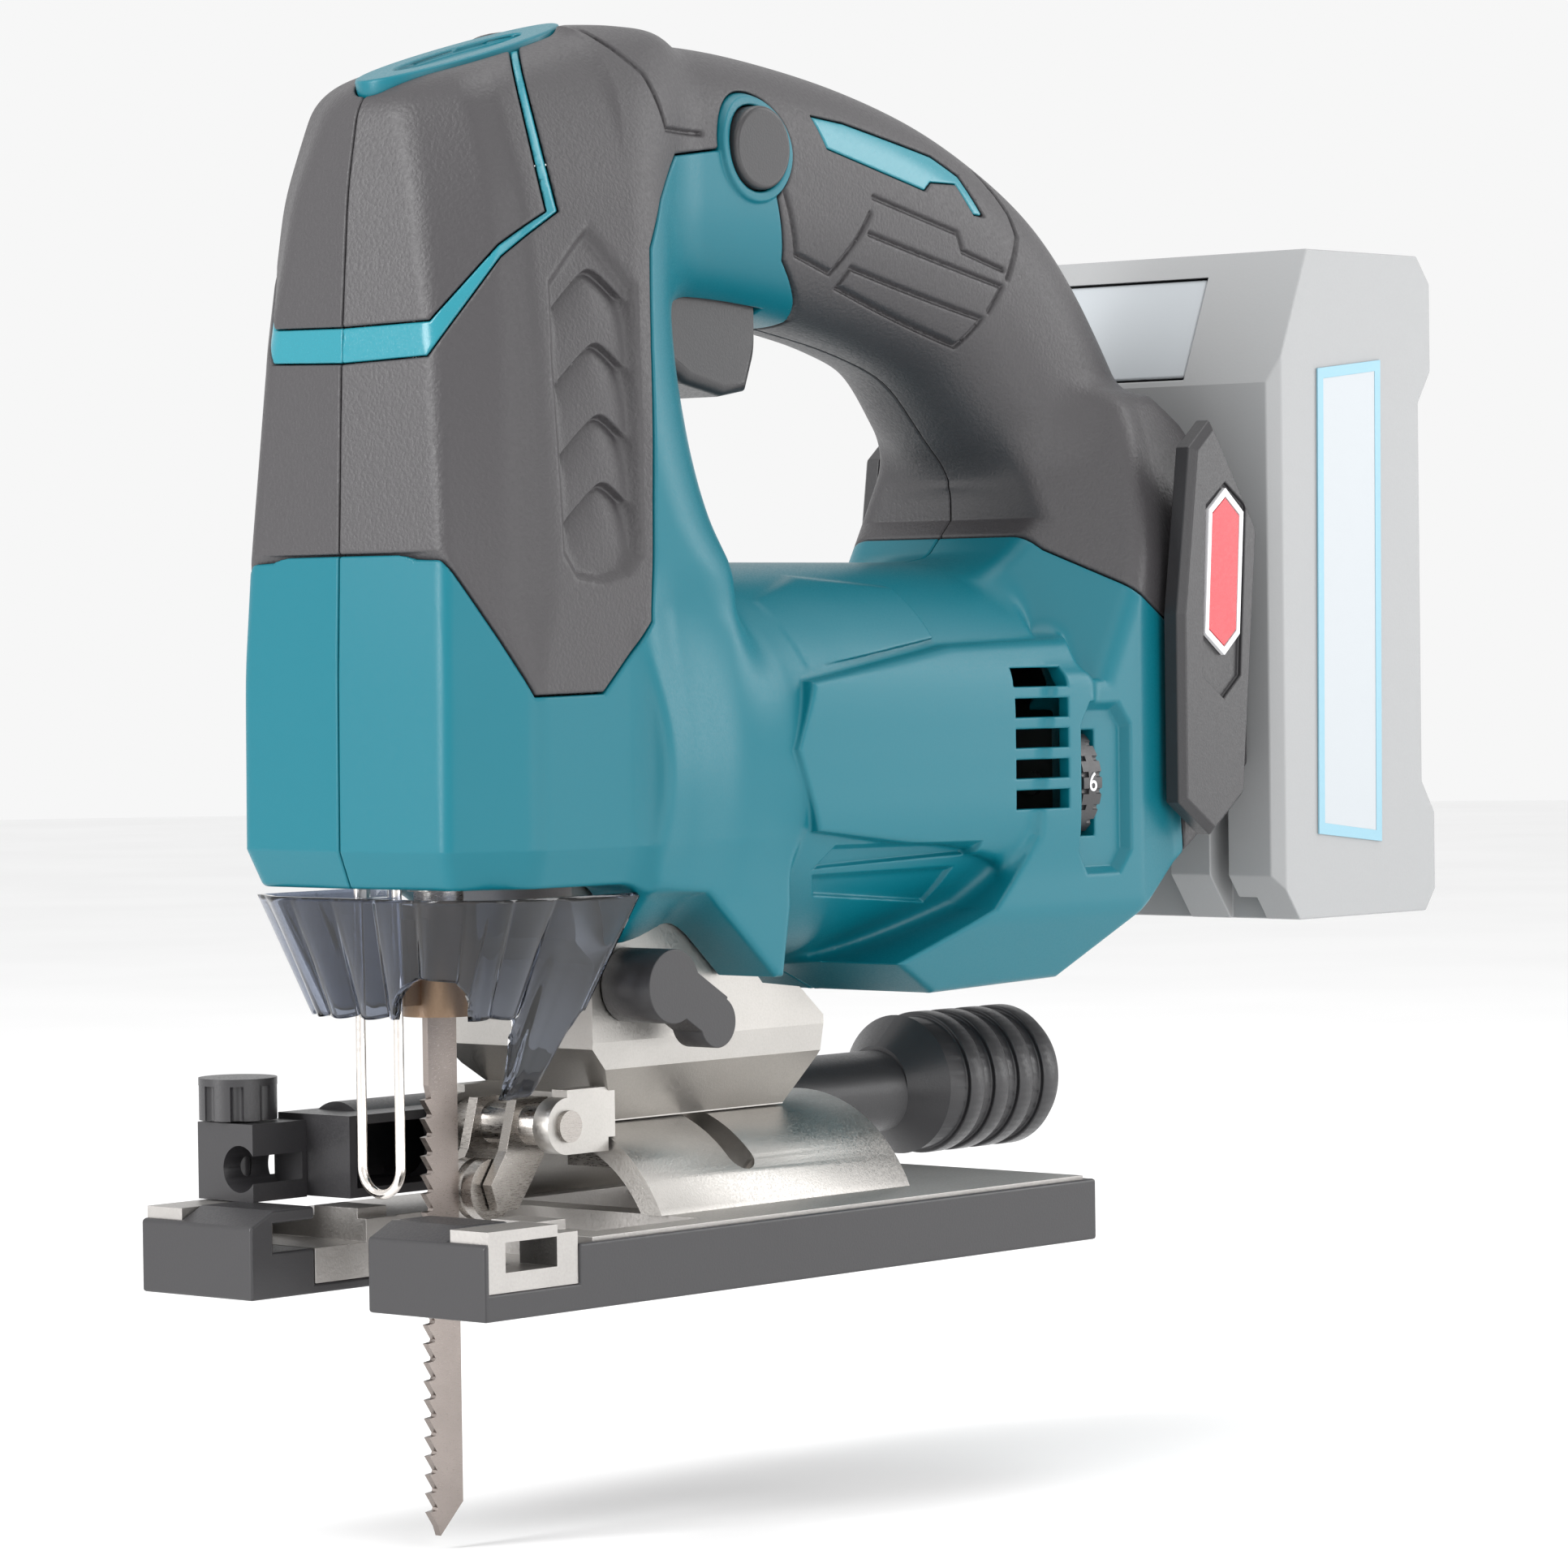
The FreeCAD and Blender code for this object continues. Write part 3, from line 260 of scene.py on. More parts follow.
HANDLE = np.array([
    (26.0, 180.0, 0.0, 21.5, 19.5), (58.0, 180.5, 2.0, 21.9, 18.8), (84.0, 177.5, 10.0, 21.7, 18.2),
    (106.0, 172.8, 27.0, 21.7, 18.2), (131.0, 162.5, 48.0, 21.0, 18.6), (152.5, 132.0, 88.0, 20.6, 21.5),
])
REAR_SIDE = [(80, 49), (92.5, 43.4), (125.4, 44.4), (160.5, 67.7), (171.4, 76.7), (175.5, 80),
             (175.5, 126.5), (166, 141), (160, 146), (131, 146), (131, 124), (125, 118), (119, 113),
             (118, 98), (113, 69), (101, 57.5)]
HEEL_SIDE = [(20, 84), (20, 65), (32, 63.2), (48.5, 48.5), (50.5, 48.5), (52.5, 60), (52.5, 84)]
PANEL = [(50.8, 85.5), (55.5, 96.5), (93.6, 102), (126, 103), (126, 60), (100, 66.5), (56, 72),
         (54.6, 76)]
GRIP = [(-40, 117.5), (-18.4, 117.5), (-7.2, 95.1), (7.6, 95.4), (19.0, 106.5), (20.1, 125),
        (22, 150), (24.1, 166), (29.2, 174), (37.4, 182), (51, 183.8), (68, 183.8), (64.5, 177.9),
        (68.7, 166.5), (77, 159.8), (79.8, 157.2), (78.6, 154), (92, 130), (118, 122.4),
        (127, 122.2), (130, 118.4), (141.5, 110.7), (153.5, 105), (156.8, 60), (190, 60),
        (190, 220), (-40, 220)]
RECESS = [(-0.5, 160), (-1.5, 148), (-0.9, 128), (-0.8, 117), (2.2, 113), (8.1, 112.2),
          (13.7, 113.5), (17.2, 117), (17.6, 126), (18.6, 150), (19.6, 160), (10, 170)]
CHEVRONS = [162.0, 150.3, 139.0, 128.3]
STRIPE = [(-14, 153.2), (2.3, 153.7), (13.0, 165.4), (20.3, 170.9), (15.2, 193.3), (14.2, 198),
          (15.6, 198), (16.6, 193.4), (22.1, 171.0), (13.5, 163.6), (2.0, 148.2), (-14, 147.5)]
INLAY = [(76.2, 190.8), (78.6, 185.4), (104.1, 179.6), (106.2, 181.1), (113.6, 181.2), (117.2, 176.1),
         (120.1, 175.9), (115.4, 182.8), (108.7, 185.8), (85, 190.1)]
PAD_LINES = [
    [(24, 203), (25.9, 200.4), (31.6, 194.9), (34.4, 185.9), (46, 186)],
    [(66.6, 178), (71.5, 167.5), (81.1, 164.8), (86.4, 171.2), (89.0, 175)],
    [(89.9, 177.8), (111.9, 172.7), (113.2, 169.6), (123.9, 166.8)],
    [(89.0, 171.6), (123.5, 163.9), (120.3, 159.6)],
    [(85.6, 165.8), (119.0, 158.2), (115.2, 153.6), (83.9, 162.6), (85.6, 165.8)],
    [(124, 184), (126.9, 180.2), (128.8, 176.9), (129.3, 172.7), (125.0, 165.4)],
]
BARS = [
    [(59.9, 65.5), (63.4, 69.4), (98.6, 69.0), (97.8, 66.7), (65.6, 65.8)],
    [(63.9, 61.0), (60.5, 64.6), (96.7, 64.7), (94.9, 58.6)],
]
POCKET = [(123.4, 66), (126, 62), (135, 62), (138.5, 66), (138.5, 88), (135, 92), (126, 92),
          (123.4, 88)]
CASE_SIDE = [(14.5, 69), (45.5, 69), (45.5, 62), (60.2, 46.6), (69.5, 45.5), (75.5, 40.5),
             (75.5, 33.5), (73.2, 20), (27.3, 20), (14.5, 40)]
MOTOR_Z = 83
BARREL_R = 33.5
LOCK, LOCK_R = (59.5, 184.4), 6.9
SCREWS = [(-13, 76), (38, 73), (16, 152), (22, 190), (112, 168), (100, 50), (158, 82)]
WALL = 2.4
SEAM = 0.13
CAP_CENTRE, CAP_TILT = (9.0, 197.2), math.radians(15.9)
SLANT_COS, SLANT_SIN = 0.66, 0.75       # direction round the head's slanted front corner


def facing(x, y, ax, ay, bx, by):
    """Signed distance to the upright plane through two points of a plan outline."""
    ex, ey = bx - ax, by - ay
    return (-(x - ax) * ey + (y - ay) * ex) / np.sqrt(ex * ex + ey * ey)


def head(x, y, z):
    nose, cx, cy, kx, ky, half = (
        eased(z, HEAD_Z, v)
        for v in (HEAD_NOSE, HEAD_CORNER_X, HEAD_CORNER_Y, HEAD_CHEEK_X, HEAD_CHEEK_Y, HEAD_HALF))
    front = facing(x, y, nose, 0 * nose, cx, cy)
    corner = facing(x, y, cx, cy, kx, ky)
    side = facing(x, y, kx, ky, HEAD_BACK + 0 * kx, half)
    bevel = (corner + side) / 1.915 + 1.1 * smooth_step(z, 96, 112)
    d = blend_max(blend_max(front, corner, 1.2), side, 0.9)
    d = blend_max(d, bevel, 0.7)
    d = blend_max(d, x - HEAD_BACK, 7.0)
    d = blend_max(d, SLANT_COS * x + SLANT_SIN * y - eased(z, BACK_CORNER_Z, BACK_CORNER, 2.0), 6.0)
    d = d + 0.4 * np.maximum(0, 71 - z)
    d = blend_max(d, 65 - z, 0.8)
    top = ((z - 186.4) * 57 - (x + 30) * 16.3) / 59.3
    return blend_max(blend_max(top, z - 202.9, 2.0), d, 5.0)


def handle(x, y, z):
    stations = np.linspace(0, len(HANDLE) - 1, 121)
    weights = np.exp(-0.5 * (np.arange(-20, 21) / 7.0) ** 2)
    weights /= weights.sum()
    line = []
    for i in range(5):
        v = np.interp(stations, np.arange(len(HANDLE)), HANDLE[:, i])
        padded = np.concatenate([2 * v[0] - v[20:0:-1], v, 2 * v[-1] - v[-2:-22:-1]])
        line.append(np.convolve(padded, weights, "valid"))
    px, pz, tilt, half_height, half_width = line
    shape = np.broadcast(x, z).shape
    best = np.full(shape, 1e9)
    nearest = np.zeros(shape, int)
    for i in range(len(px)):
        reach = (x - px[i]) ** 2 + (z - pz[i]) ** 2
        closer = reach < best
        best = np.where(closer, reach, best)
        nearest = np.where(closer, i, nearest)
    order = np.arange(len(px))
    gap = np.hypot(np.gradient(px), np.gradient(pz))
    bend = np.gradient(np.radians(tilt)) / gap
    place = nearest.astype(float)
    for _ in range(2):
        turn, mx, mz = (np.interp(place, order, v) for v in (np.radians(tilt), px, pz))
        rise = (x - mx) * np.sin(turn) + (z - mz) * np.cos(turn)
        along = (x - mx) * np.cos(turn) - (z - mz) * np.sin(turn)
        stretch = np.maximum(1 + rise * np.interp(place, order, bend), 0.3)
        place = np.clip(place + along / np.interp(place, order, gap) / stretch, 0, len(px) - 1)
    turn, mx, mz = (np.interp(place, order, v) for v in (np.radians(tilt), px, pz))
    rise = (x - mx) * np.sin(turn) + (z - mz) * np.cos(turn)
    along = (x - mx) * np.cos(turn) - (z - mz) * np.sin(turn)
    past_end = np.where(place <= 0, -along, np.where(place >= len(px) - 1, along, -50))
    tall, wide = np.interp(place, order, half_height), np.interp(place, order, half_width)
    power = 2.4
    ring = ((np.abs(rise) / tall) ** power + (y / wide) ** power) ** (1 / power)
    return np.maximum((ring - 1) * np.minimum(tall, wide), past_end)


def rear(x, y, z):
    side = outline(x, z, REAR_SIDE)
    half = 34.0 - 2.4 * np.clip((x - 141.5) / 12.0, 0, 1)
    slant = np.maximum(np.maximum((x - 98 - 1.19 * y - 0.55 * (z - 108)) / 1.65, 96 - z), 6 - y)
    upper = ((y - half) * 22 + (z - 121) * 7) / math.hypot(22, 7)
    top = ((y - 27) * 9 + (z - 143) * 7) / math.hypot(9, 7)
    lower = ((y - half) * 14 - (z - 56) * 8) / math.hypot(14, 8)
    d = blend_max(side, y - half, 1.0)
    d = blend_max(d, upper, 3.0)
    d = blend_max(d, top, 3.0)
    d = blend_max(d, -slant, 2.0)
    return blend_max(d, lower, 0.9)


def envelope(x, y, z):
    """The whole moulded body, closed, with its outside detail. Only y of 0 or more."""
    d = blend_min(head(x, y, z), handle(x, y, z), 6.0)
    radius = np.sqrt(y * y + (z - MOTOR_Z) ** 2)
    barrel = blend_max(radius - BARREL_R, np.abs(x - 71) - 51, 2.0)
    barrel = barrel + 3.0 * np.exp(-((x - 39) / 9.0) ** 2)
    panel = blend_max(blend_max(outline(x, z, PANEL), y - 33.9, 0.8), radius - 36.0, 1.5)
    barrel = blend_min(barrel, panel, 0.6)
    wedge = blend_max(outline(x, z, [(58, 98.5), (93, 103.2), (93, 112), (72, 114), (56, 110)]),
                      radius - 33.6 - 0.7 * smooth_step(x, 57, 74), 0.6)
    barrel = blend_min(barrel, wedge, 0.4)
    neck = 1.6 * smooth_step(x, 17.5, 26) * window(z, 66, 112, 5)
    d = blend_min(d + neck, barrel, 7.0)
    heel = blend_max(outline(x, z, HEEL_SIDE), y - 30.6 + 0.08 * np.maximum(0, z - 70), 1.2)
    d = blend_min(d, heel, 3.0)
    d = blend_min(d, rear(x, y, z), 4.0)
    return d


def dimples(x, y, z):
    """How far the surface is sunk by recesses and panel lines."""
    on_side = smooth_step(y, 10, 13)
    recess = outline(x, z, RECESS)
    pocket = 1.5 * (1 - smooth_step(recess, -2.2, 0.3))
    rise = z + 0.85 * (np.sqrt((x - 10.5) ** 2 + 4) - 2)
    steps = 0
    for at in CHEVRONS:
        below = at - rise
        steps = steps + 1.7 * smooth_step(below, -0.4, 0.5) * np.exp(-np.maximum(below, 0) / 4.5)
    pocket = pocket + steps * (1 - smooth_step(recess, -3.5, -0.8))
    sunk = pocket * smooth_step(y, 20, 24) * (1 - smooth_step(z, 166, 172))
    lines = 0
    for points in PAD_LINES:
        lines = np.maximum(lines, np.exp(-(path_distance(x, z, points) / 0.42) ** 2))
    sunk = sunk + 0.8 * lines * on_side
    for points in BARS:
        sunk = sunk + 0.9 * (1 - smooth_step(outline(x, z, points), -0.7, 0.2)) * on_side
    return sunk


def ring_zone(x, z):
    return np.sqrt((x - LOCK[0]) ** 2 + (z - LOCK[1]) ** 2)


def cap_zone(x, y, z):
    """Signed reach outside the nose cap's oval socket."""
    along = (x - CAP_CENTRE[0]) * math.cos(CAP_TILT) + (z - CAP_CENTRE[1]) * math.sin(CAP_TILT)
    above = (z - CAP_CENTRE[1]) * math.cos(CAP_TILT) - (x - CAP_CENTRE[0]) * math.sin(CAP_TILT)
    oval = (np.sqrt((along / 22.25) ** 2 + (y / 10.25) ** 2) - 1) * 10.25
    return np.maximum(oval, -3.2 - above)


def box_zone(x, y, z, xs, ys, zs):
    return np.maximum(np.maximum(np.abs(x - sum(xs) / 2) - (xs[1] - xs[0]) / 2,
                                 np.abs(y - sum(ys) / 2) - (ys[1] - ys[0]) / 2),
                      np.abs(z - sum(zs) / 2) - (zs[1] - zs[0]) / 2)


def cut(d, zone, k=0.5):
    return blend_max(d, -zone, k)


def openings(d, x, y, z, right):
    """Cuts what the mechanism needs out of a shell. y is 0 or more on both halves."""
    d = cut(d, box_zone(x, y, z, (-11.5, 14), (-16, 16), (55, 72)))
    d = cut(d, np.maximum(outline(x, z, CASE_SIDE) - 0.5, y - 17.5))
    d = cut(d, box_zone(x, y, z, (47.9, 71.2), (-8.8, 8.8), (140, 172)))
    d = cut(d, ring_zone(x, z) - LOCK_R - 0.3)
    d = cut(d, box_zone(x, y, z, (165, 180), (-13.2, 13.2), (79.3, 112.7)))
    for i in range(5):
        low = 74 + 5.2 * i
        d = cut(d, box_zone(x, y, z, (107, 120), (20, 40), (low, low + 3.2)), 0.4)
    if right:
        for sx, sz in SCREWS:
            d = cut(d, np.sqrt((x - sx) ** 2 + (z - sz) ** 2) - 3.9)
    else:
        d = cut(d, box_zone(x, y, z, (123.9, 130.1), (20, 40), (68.9, 87.1)), 0.4)
        slope = outline(x, z, POCKET) + 0.8 * np.maximum(0, 34.2 - y)
        d = cut(d, np.maximum(slope, 32.3 - y), 0.4)
    return d


def teal_field(b, x, y, z, right):
    grip = outline(x, z, GRIP)
    ring = ring_zone(x, z)
    rim = np.maximum(ring - 9.3, 14 - y)
    raised = b - 0.7 * (1 - smooth_step(ring, 8.6, 9.3))
    wall = WALL + 3.0 * (1 - smooth_step(outline(x, z, POCKET), 0.5, 3.5)) * smooth_step(y, 18, 22)
    d = np.maximum(raised, -(b + wall))
    outside_grip = blend_min(0.15 - grip, rim, 0.3)
    d = blend_max(d, outside_grip, 0.55)
    d = cut(d, cap_zone(x, y, z))
    return blend_max(openings(d, x, y, z, right), SEAM - y, 0.35)


def grip_field(b, x, y, z, right):
    grip = outline(x, z, GRIP)
    ring = ring_zone(x, z)
    d = np.maximum(b, -(b + WALL))
    d = blend_max(d, grip + 0.15, 0.55)
    d = cut(d, np.maximum(ring - 9.5, 13 - y), 0.5)
    s = SLANT_COS * x + SLANT_SIN * y
    d = cut(d, np.maximum(np.maximum(outline(s, z, STRIPE) - 0.12, x - 12), -(b + 2.5)), 0.45)
    d = cut(d, np.maximum(np.maximum(outline(x, z, INLAY) - 0.12, 8 - y), -(b + 2.5)), 0.45)
    d = cut(d, cap_zone(x, y, z))
    return blend_max(openings(d, x, y, z, right), SEAM - y, 0.35)


def stripe_field(b, x, y, z, right):
    s = SLANT_COS * x + SLANT_SIN * y
    zone = np.maximum(outline(s, z, STRIPE) + 0.1, x - 12)
    d = blend_max(np.maximum(b + 0.25, -(b + 2.4)), zone, 0.4)
    return blend_max(cut(d, cap_zone(x, y, z)), 0.05 - y, 0.2)


def inlay_field(b, x, y, z, right):
    zone = np.maximum(outline(x, z, INLAY) + 0.1, 8 - y)
    return blend_max(np.maximum(b + 0.2, -(b + 2.4)), zone, 0.4)


def net(field, axes):
    """Closed quad surface where a sampled field crosses zero."""
    inside = field < 0
    shape = field.shape
    cells = np.zeros(tuple(n - 1 for n in shape), np.int8)
    corner = [slice(None, -1), slice(1, None)]
    for i in range(8):
        cells += inside[corner[i & 1], corner[i >> 1 & 1], corner[i >> 2 & 1]]
    active = (cells > 0) & (cells < 8)
    index = -np.ones(cells.shape, np.int64)
    where = np.argwhere(active)
    index[active] = np.arange(len(where))
    total = np.zeros((len(where), 3))
    count = np.zeros(len(where))
    for axis in range(3):
        others = [a for a in range(3) if a != axis]
        for i in range(4):
            low = where.copy()
            low[:, others[0]] += i & 1
            low[:, others[1]] += i >> 1
            high = low.copy()
            high[:, axis] += 1
            a = field[tuple(low.T)]
            b = field[tuple(high.T)]
            crossed = (a < 0) != (b < 0)
            t = np.where(crossed, a / np.where(crossed, a - b, 1), 0)
            point = low.astype(float)
            point[:, axis] += t
            total += np.where(crossed[:, None], point, 0)
            count += crossed
    points = total / count[:, None]
    verts = np.stack([np.interp(points[:, i], np.arange(len(axes[i])), axes[i]) for i in range(3)], 1)
    quads = []
    for axis in range(3):
        u, v = [(1, 2), (2, 0), (0, 1)][axis]
        crossing = [slice(None)] * 3
        crossing[axis] = slice(None, -1)
        ahead = [slice(None)] * 3
        ahead[axis] = slice(1, None)
        here, there = inside[tuple(crossing)], inside[tuple(ahead)]
        edges = np.argwhere(here != there)
        keep = (edges[:, u] > 0) & (edges[:, v] > 0)
        keep &= (edges[:, u] < shape[u] - 1) & (edges[:, v] < shape[v] - 1)
        edges = edges[keep]
        ring = []
        for du, dv in ((1, 1), (0, 1), (0, 0), (1, 0)):
            cell = edges.copy()
            cell[:, u] -= du
            cell[:, v] -= dv
            ring.append(index[tuple(cell.T)])
        ring = np.stack(ring, 1)
        outward = here[tuple(edges.T)]
        ring[~outward] = ring[~outward][:, ::-1]
        quads.append(ring)
    return verts, np.concatenate(quads)


LOW, HIGH = (-23.0, -1.5, 42.0), (178.5, 37.0, 206.0)


def full_body(x, y, z):
    y = np.abs(y)
    return envelope(x, y, z) + dimples(x, y, z)


def settle(verts, field, right, rounds=2):
    """Moves each vertex onto the exact surface."""
    reach = 0.12
    limit = STEP * 0.7
    for _ in range(rounds):
        x, y, z = verts.T
        value = field(full_body(x, y, z), x, y, z, right)
        slope = np.zeros_like(verts)
        for axis in range(3):
            p = verts.copy()
            p[:, axis] += reach
            slope[:, axis] = (field(full_body(*p.T), *p.T, right) - value) / reach
        size = np.maximum((slope ** 2).sum(1), 0.25)
        move = -slope * (value / size)[:, None]
        length = np.maximum(np.linalg.norm(move, axis=1), 1e-9)
        verts = verts + move * np.minimum(1, limit / length)[:, None]
    return verts


def sharpen(piece, field, right, rounds):
    """Splits the faces beside tight edges and settles the new vertices, so creases come out crisp."""
    mesh = piece.data
    for _ in range(rounds):
        work = bmesh.new()
        work.from_mesh(mesh)
        tight = [e for e in work.edges
                 if len(e.link_faces) == 2 and e.calc_length() > 0.28 and e.calc_face_angle() > 0.32]
        faces = {f for e in tight for f in e.link_faces}
        edges = list({e for f in faces for e in f.edges})
        if edges:
            edges.sort(key=lambda e: e.index)
            bmesh.ops.subdivide_edges(work, edges=edges, cuts=1, use_grid_fill=True,
                                      use_single_edge=True)
        settled = len(mesh.vertices)
        work.to_mesh(mesh)
        work.free()
        verts = np.empty(len(mesh.vertices) * 3)
        mesh.vertices.foreach_get("co", verts)
        verts = verts.reshape(-1, 3)
        verts[settled:] = settle(verts[settled:], field, right, 1)
        mesh.vertices.foreach_set("co", verts.ravel())
        mesh.update()


def mesh_piece(name, verts, faces):
    mesh = bpy.data.meshes.new(name)
    mesh.from_pydata([tuple(v) for v in verts], [], [tuple(f) for f in faces])
    mesh.validate()
    mesh.polygons.foreach_set("use_smooth", [True] * len(mesh.polygons))
    piece = bpy.data.objects.new(name, mesh)
    bpy.context.scene.collection.objects.link(piece)
    return piece


def dress(piece, body, slot, material=None, replaces=()):
    piece.data.materials.clear()
    piece.data.materials.append(material or M[slot])
    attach(piece, body)
    if replaces:
        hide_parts(*replaces)
    return piece


AXES = [np.arange(LOW[i], HIGH[i], STEP) for i in range(3)]
GX, GY, GZ = AXES[0][:, None, None], AXES[1][None, :, None], AXES[2][None, None, :]
GRID_BODY = full_body(GX, GY, GZ)


def moulded(name, field, slot, right, material=None, replaces=()):
    sampled = np.ascontiguousarray(np.broadcast_to(field(GRID_BODY, GX, GY, GZ, right), GRID_BODY.shape))
    verts, quads = net(sampled, AXES)
    verts = settle(verts, field, right)
    piece = mesh_piece(name, verts, quads.tolist())
    sharpen(piece, field, right, 2)
    mesh = piece.data
    if right:
        mesh.transform(Matrix.Scale(MM, 4))
    else:
        mesh.transform(Matrix.Diagonal((MM, -MM, MM, 1)))
        mesh.flip_normals()
    mesh.polygons.foreach_set("use_smooth", [True] * len(mesh.polygons))
    mesh.update()
    return dress(piece, "tool", slot, material, replaces)


for side, right in (("left", False), ("right", True)):
    moulded(f"shell_{side}", teal_field, "teal_shell", right, replaces=[f"housing_{side}"])
    moulded(f"soft_grip_{side}", grip_field, "black_grip", right, replaces=[f"grip_{side}"])
    moulded(f"stripe_{side}", stripe_field, "teal_shell", right, M["teal_bright"])
    moulded(f"handle_inlay_{side}", inlay_field, "teal_shell", right, M["teal_bright"])


# ---- clear dust cover ----------------------------------------------------------------------
RIM_Z, HEM_Z, COVER_WALL = 63.5, 44.8, 1.3
COVER_RIM = [(19, -28), (-12.5, -28), (-18.5, -18), (-18.5, 18), (-12.5, 28), (19, 28)]
COVER_HEM = [(13, -21), (-8, -20.5), (-14.8, -11), (-14.8, 11), (-8, 20.5), (13, 21)]
FLUTES = 13


def cover_plan(corners, count):
    """Evenly spaced points round a plan line, with the corners rounded off."""
    corners = np.asarray(corners, float)
    run = np.concatenate([[0], np.cumsum(np.linalg.norm(np.diff(corners, axis=0), axis=1))])
    at = np.linspace(0, run[-1], count)
    line = np.stack([np.interp(at, run, corners[:, i]) for i in range(2)], 1)
    weights = np.exp(-0.5 * (np.arange(-12, 13) / 5.0) ** 2)
    weights /= weights.sum()
    for i in range(2):
        padded = np.concatenate([2 * line[0, i] - line[12:0:-1, i], line[:, i],
                                 2 * line[-1, i] - line[-2:-14:-1, i]])
        line[:, i] = np.convolve(padded, weights, "valid")
    return line


def inward(line):
    along = np.gradient(line, axis=0)
    along /= np.linalg.norm(along, axis=1)[:, None]
    return np.stack([along[:, 1], -along[:, 0]], 1)


def dust_cover():
    count, rows = 312, 30
    rim, hem = cover_plan(COVER_RIM, count), cover_plan(COVER_HEM, count)
    u = np.linspace(0, 1, count)
    front = smooth_step(-hem[:, 0], -6, -1)
    groove = (1 - np.abs(np.sin(math.pi * FLUTES * u)) ** 0.7) * front
    x, y = hem.T
    scallop = 1.0 * np.abs(np.sin(math.pi * FLUTES * u)) * front
    near = (1 - smooth_step(np.abs(x - 6.0), 2.6, 6.6)) * (y < 0)
    arch = np.where((np.abs(y + 12) < 6.6) & (x < -5), np.sqrt(np.maximum(0, 43.6 - (y + 12) ** 2)), 0)
    foot = HEM_Z - scallop * 0.6 + arch - 13.6 * near
    layers = []
    for gap in (0.0, COVER_WALL):
        grid = []
        for row in range(rows):
            share = row / (rows - 1)
            z = foot + (RIM_Z - foot) * share
            t = ((z - HEM_Z) / (RIM_Z - HEM_Z))[:, None]
            plan = hem + (rim - hem) * t
            depth = gap + 1.5 * groove * (1 - 0.75 * share)
            flare = 0.8 * (1 - smooth_step(share, 0.0, 0.12)) * (foot < HEM_Z - 3)
            plan = plan + inward(plan) * (depth + flare)[:, None]
            grid.append(np.column_stack([plan, z]))
        layers.append(np.stack(grid))
    verts = np.concatenate([layer.reshape(-1, 3) for layer in layers])
    faces = []
    inner = rows * count

    def at(row, column, layer):
        return layer * inner + row * count + column

    for row in range(rows - 1):
        for column in range(count - 1):
            ring = [at(row, column, 0), at(row, column + 1, 0), at(row + 1, column + 1, 0),
                    at(row + 1, column, 0)]
            faces.append(ring[::-1])
            faces.append([i + inner for i in ring])
    for column in range(count - 1):
        faces.append([at(0, column, 0), at(0, column + 1, 0), at(0, column + 1, 1), at(0, column, 1)])
        top = rows - 1
        faces.append([at(top, column, 1), at(top, column + 1, 1), at(top, column + 1, 0),
                      at(top, column, 0)])
    for row in range(rows - 1):
        last = count - 1
        faces.append([at(row, 0, 1), at(row + 1, 0, 1), at(row + 1, 0, 0), at(row, 0, 0)])
        faces.append([at(row, last, 0), at(row + 1, last, 0), at(row + 1, last, 1), at(row, last, 1)])
    piece = mesh_piece("dust_cover_fluted", verts * MM, faces)
    shape = bmesh.new()
    shape.from_mesh(piece.data)
    bmesh.ops.recalc_face_normals(shape, faces=shape.faces)
    shape.to_mesh(piece.data)
    shape.free()
    dress(piece, "chip_cover", "smoke_clear", replaces=["dust_cover"])


dust_cover()


# ---- badges, label frame and dial figure ---------------------------------------------------
def plate(name, points, low, high, body, slot, material=None, replaces=(), hole=None):
    """Thin upright plate from a side outline in (x, z), bevelled, with an optional window."""
    shape = bmesh.new()
    rings = []
    for y in (low, high):
        rings.append([shape.verts.new((x * MM, y * MM, z * MM)) for x, z in points])
        if hole:
            rings.append([shape.verts.new((x * MM, y * MM, z * MM)) for x, z in hole])
    count = len(points)
    for i in range(count):
        j = (i + 1) % count
        if hole:
            near, gap, far, far_gap = rings
            shape.faces.new((near[i], near[j], gap[j], gap[i]))
            shape.faces.new((far[j], far[i], far_gap[i], far_gap[j]))
            shape.faces.new((near[j], near[i], far[i], far[j]))
            shape.faces.new((gap[i], gap[j], far_gap[j], far_gap[i]))
        else:
            shape.faces.new((rings[0][j], rings[0][i], rings[1][i], rings[1][j]))
    if not hole:
        shape.faces.new(rings[0])
        shape.faces.new(rings[1][::-1])
    bmesh.ops.recalc_face_normals(shape, faces=shape.faces)
    mesh = bpy.data.meshes.new(name)
    shape.to_mesh(mesh)
    shape.free()
    piece = bpy.data.objects.new(name, mesh)
    bpy.context.scene.collection.objects.link(piece)
    edge = piece.modifiers.new("edges", "BEVEL")
    edge.width = 0.06 * MM
    edge.segments = 2
    edge.limit_method = "ANGLE"
    return dress(piece, body, slot, material, replaces)


BADGE = [(154.7, 103.5), (160.2, 99.6), (164.7, 103.3), (166.2, 124.8), (161.0, 129.0), (156.2, 125.2)]
BADGE_INNER = [(155.7, 104.1), (160.2, 101.0), (163.8, 103.9), (165.1, 124.3), (161.0, 127.5),
               (157.1, 124.6)]
for side, sign in (("left", -1), ("right", 1)):
    plate(f"badge_border_{side}", BADGE, sign * 37.25, sign * 38.1, "tool", "badge_red", BADGE_WHITE,
          hole=BADGE_INNER)
    plate(f"badge_{side}", [((x - 160.4) * 0.98 + 160.4, (z - 114.2) * 0.98 + 114.2)
                            for x, z in BADGE_INNER],
          sign * 37.25, sign * 38.0, "tool", "badge_red", replaces=["side_badges"] if sign < 0 else ())

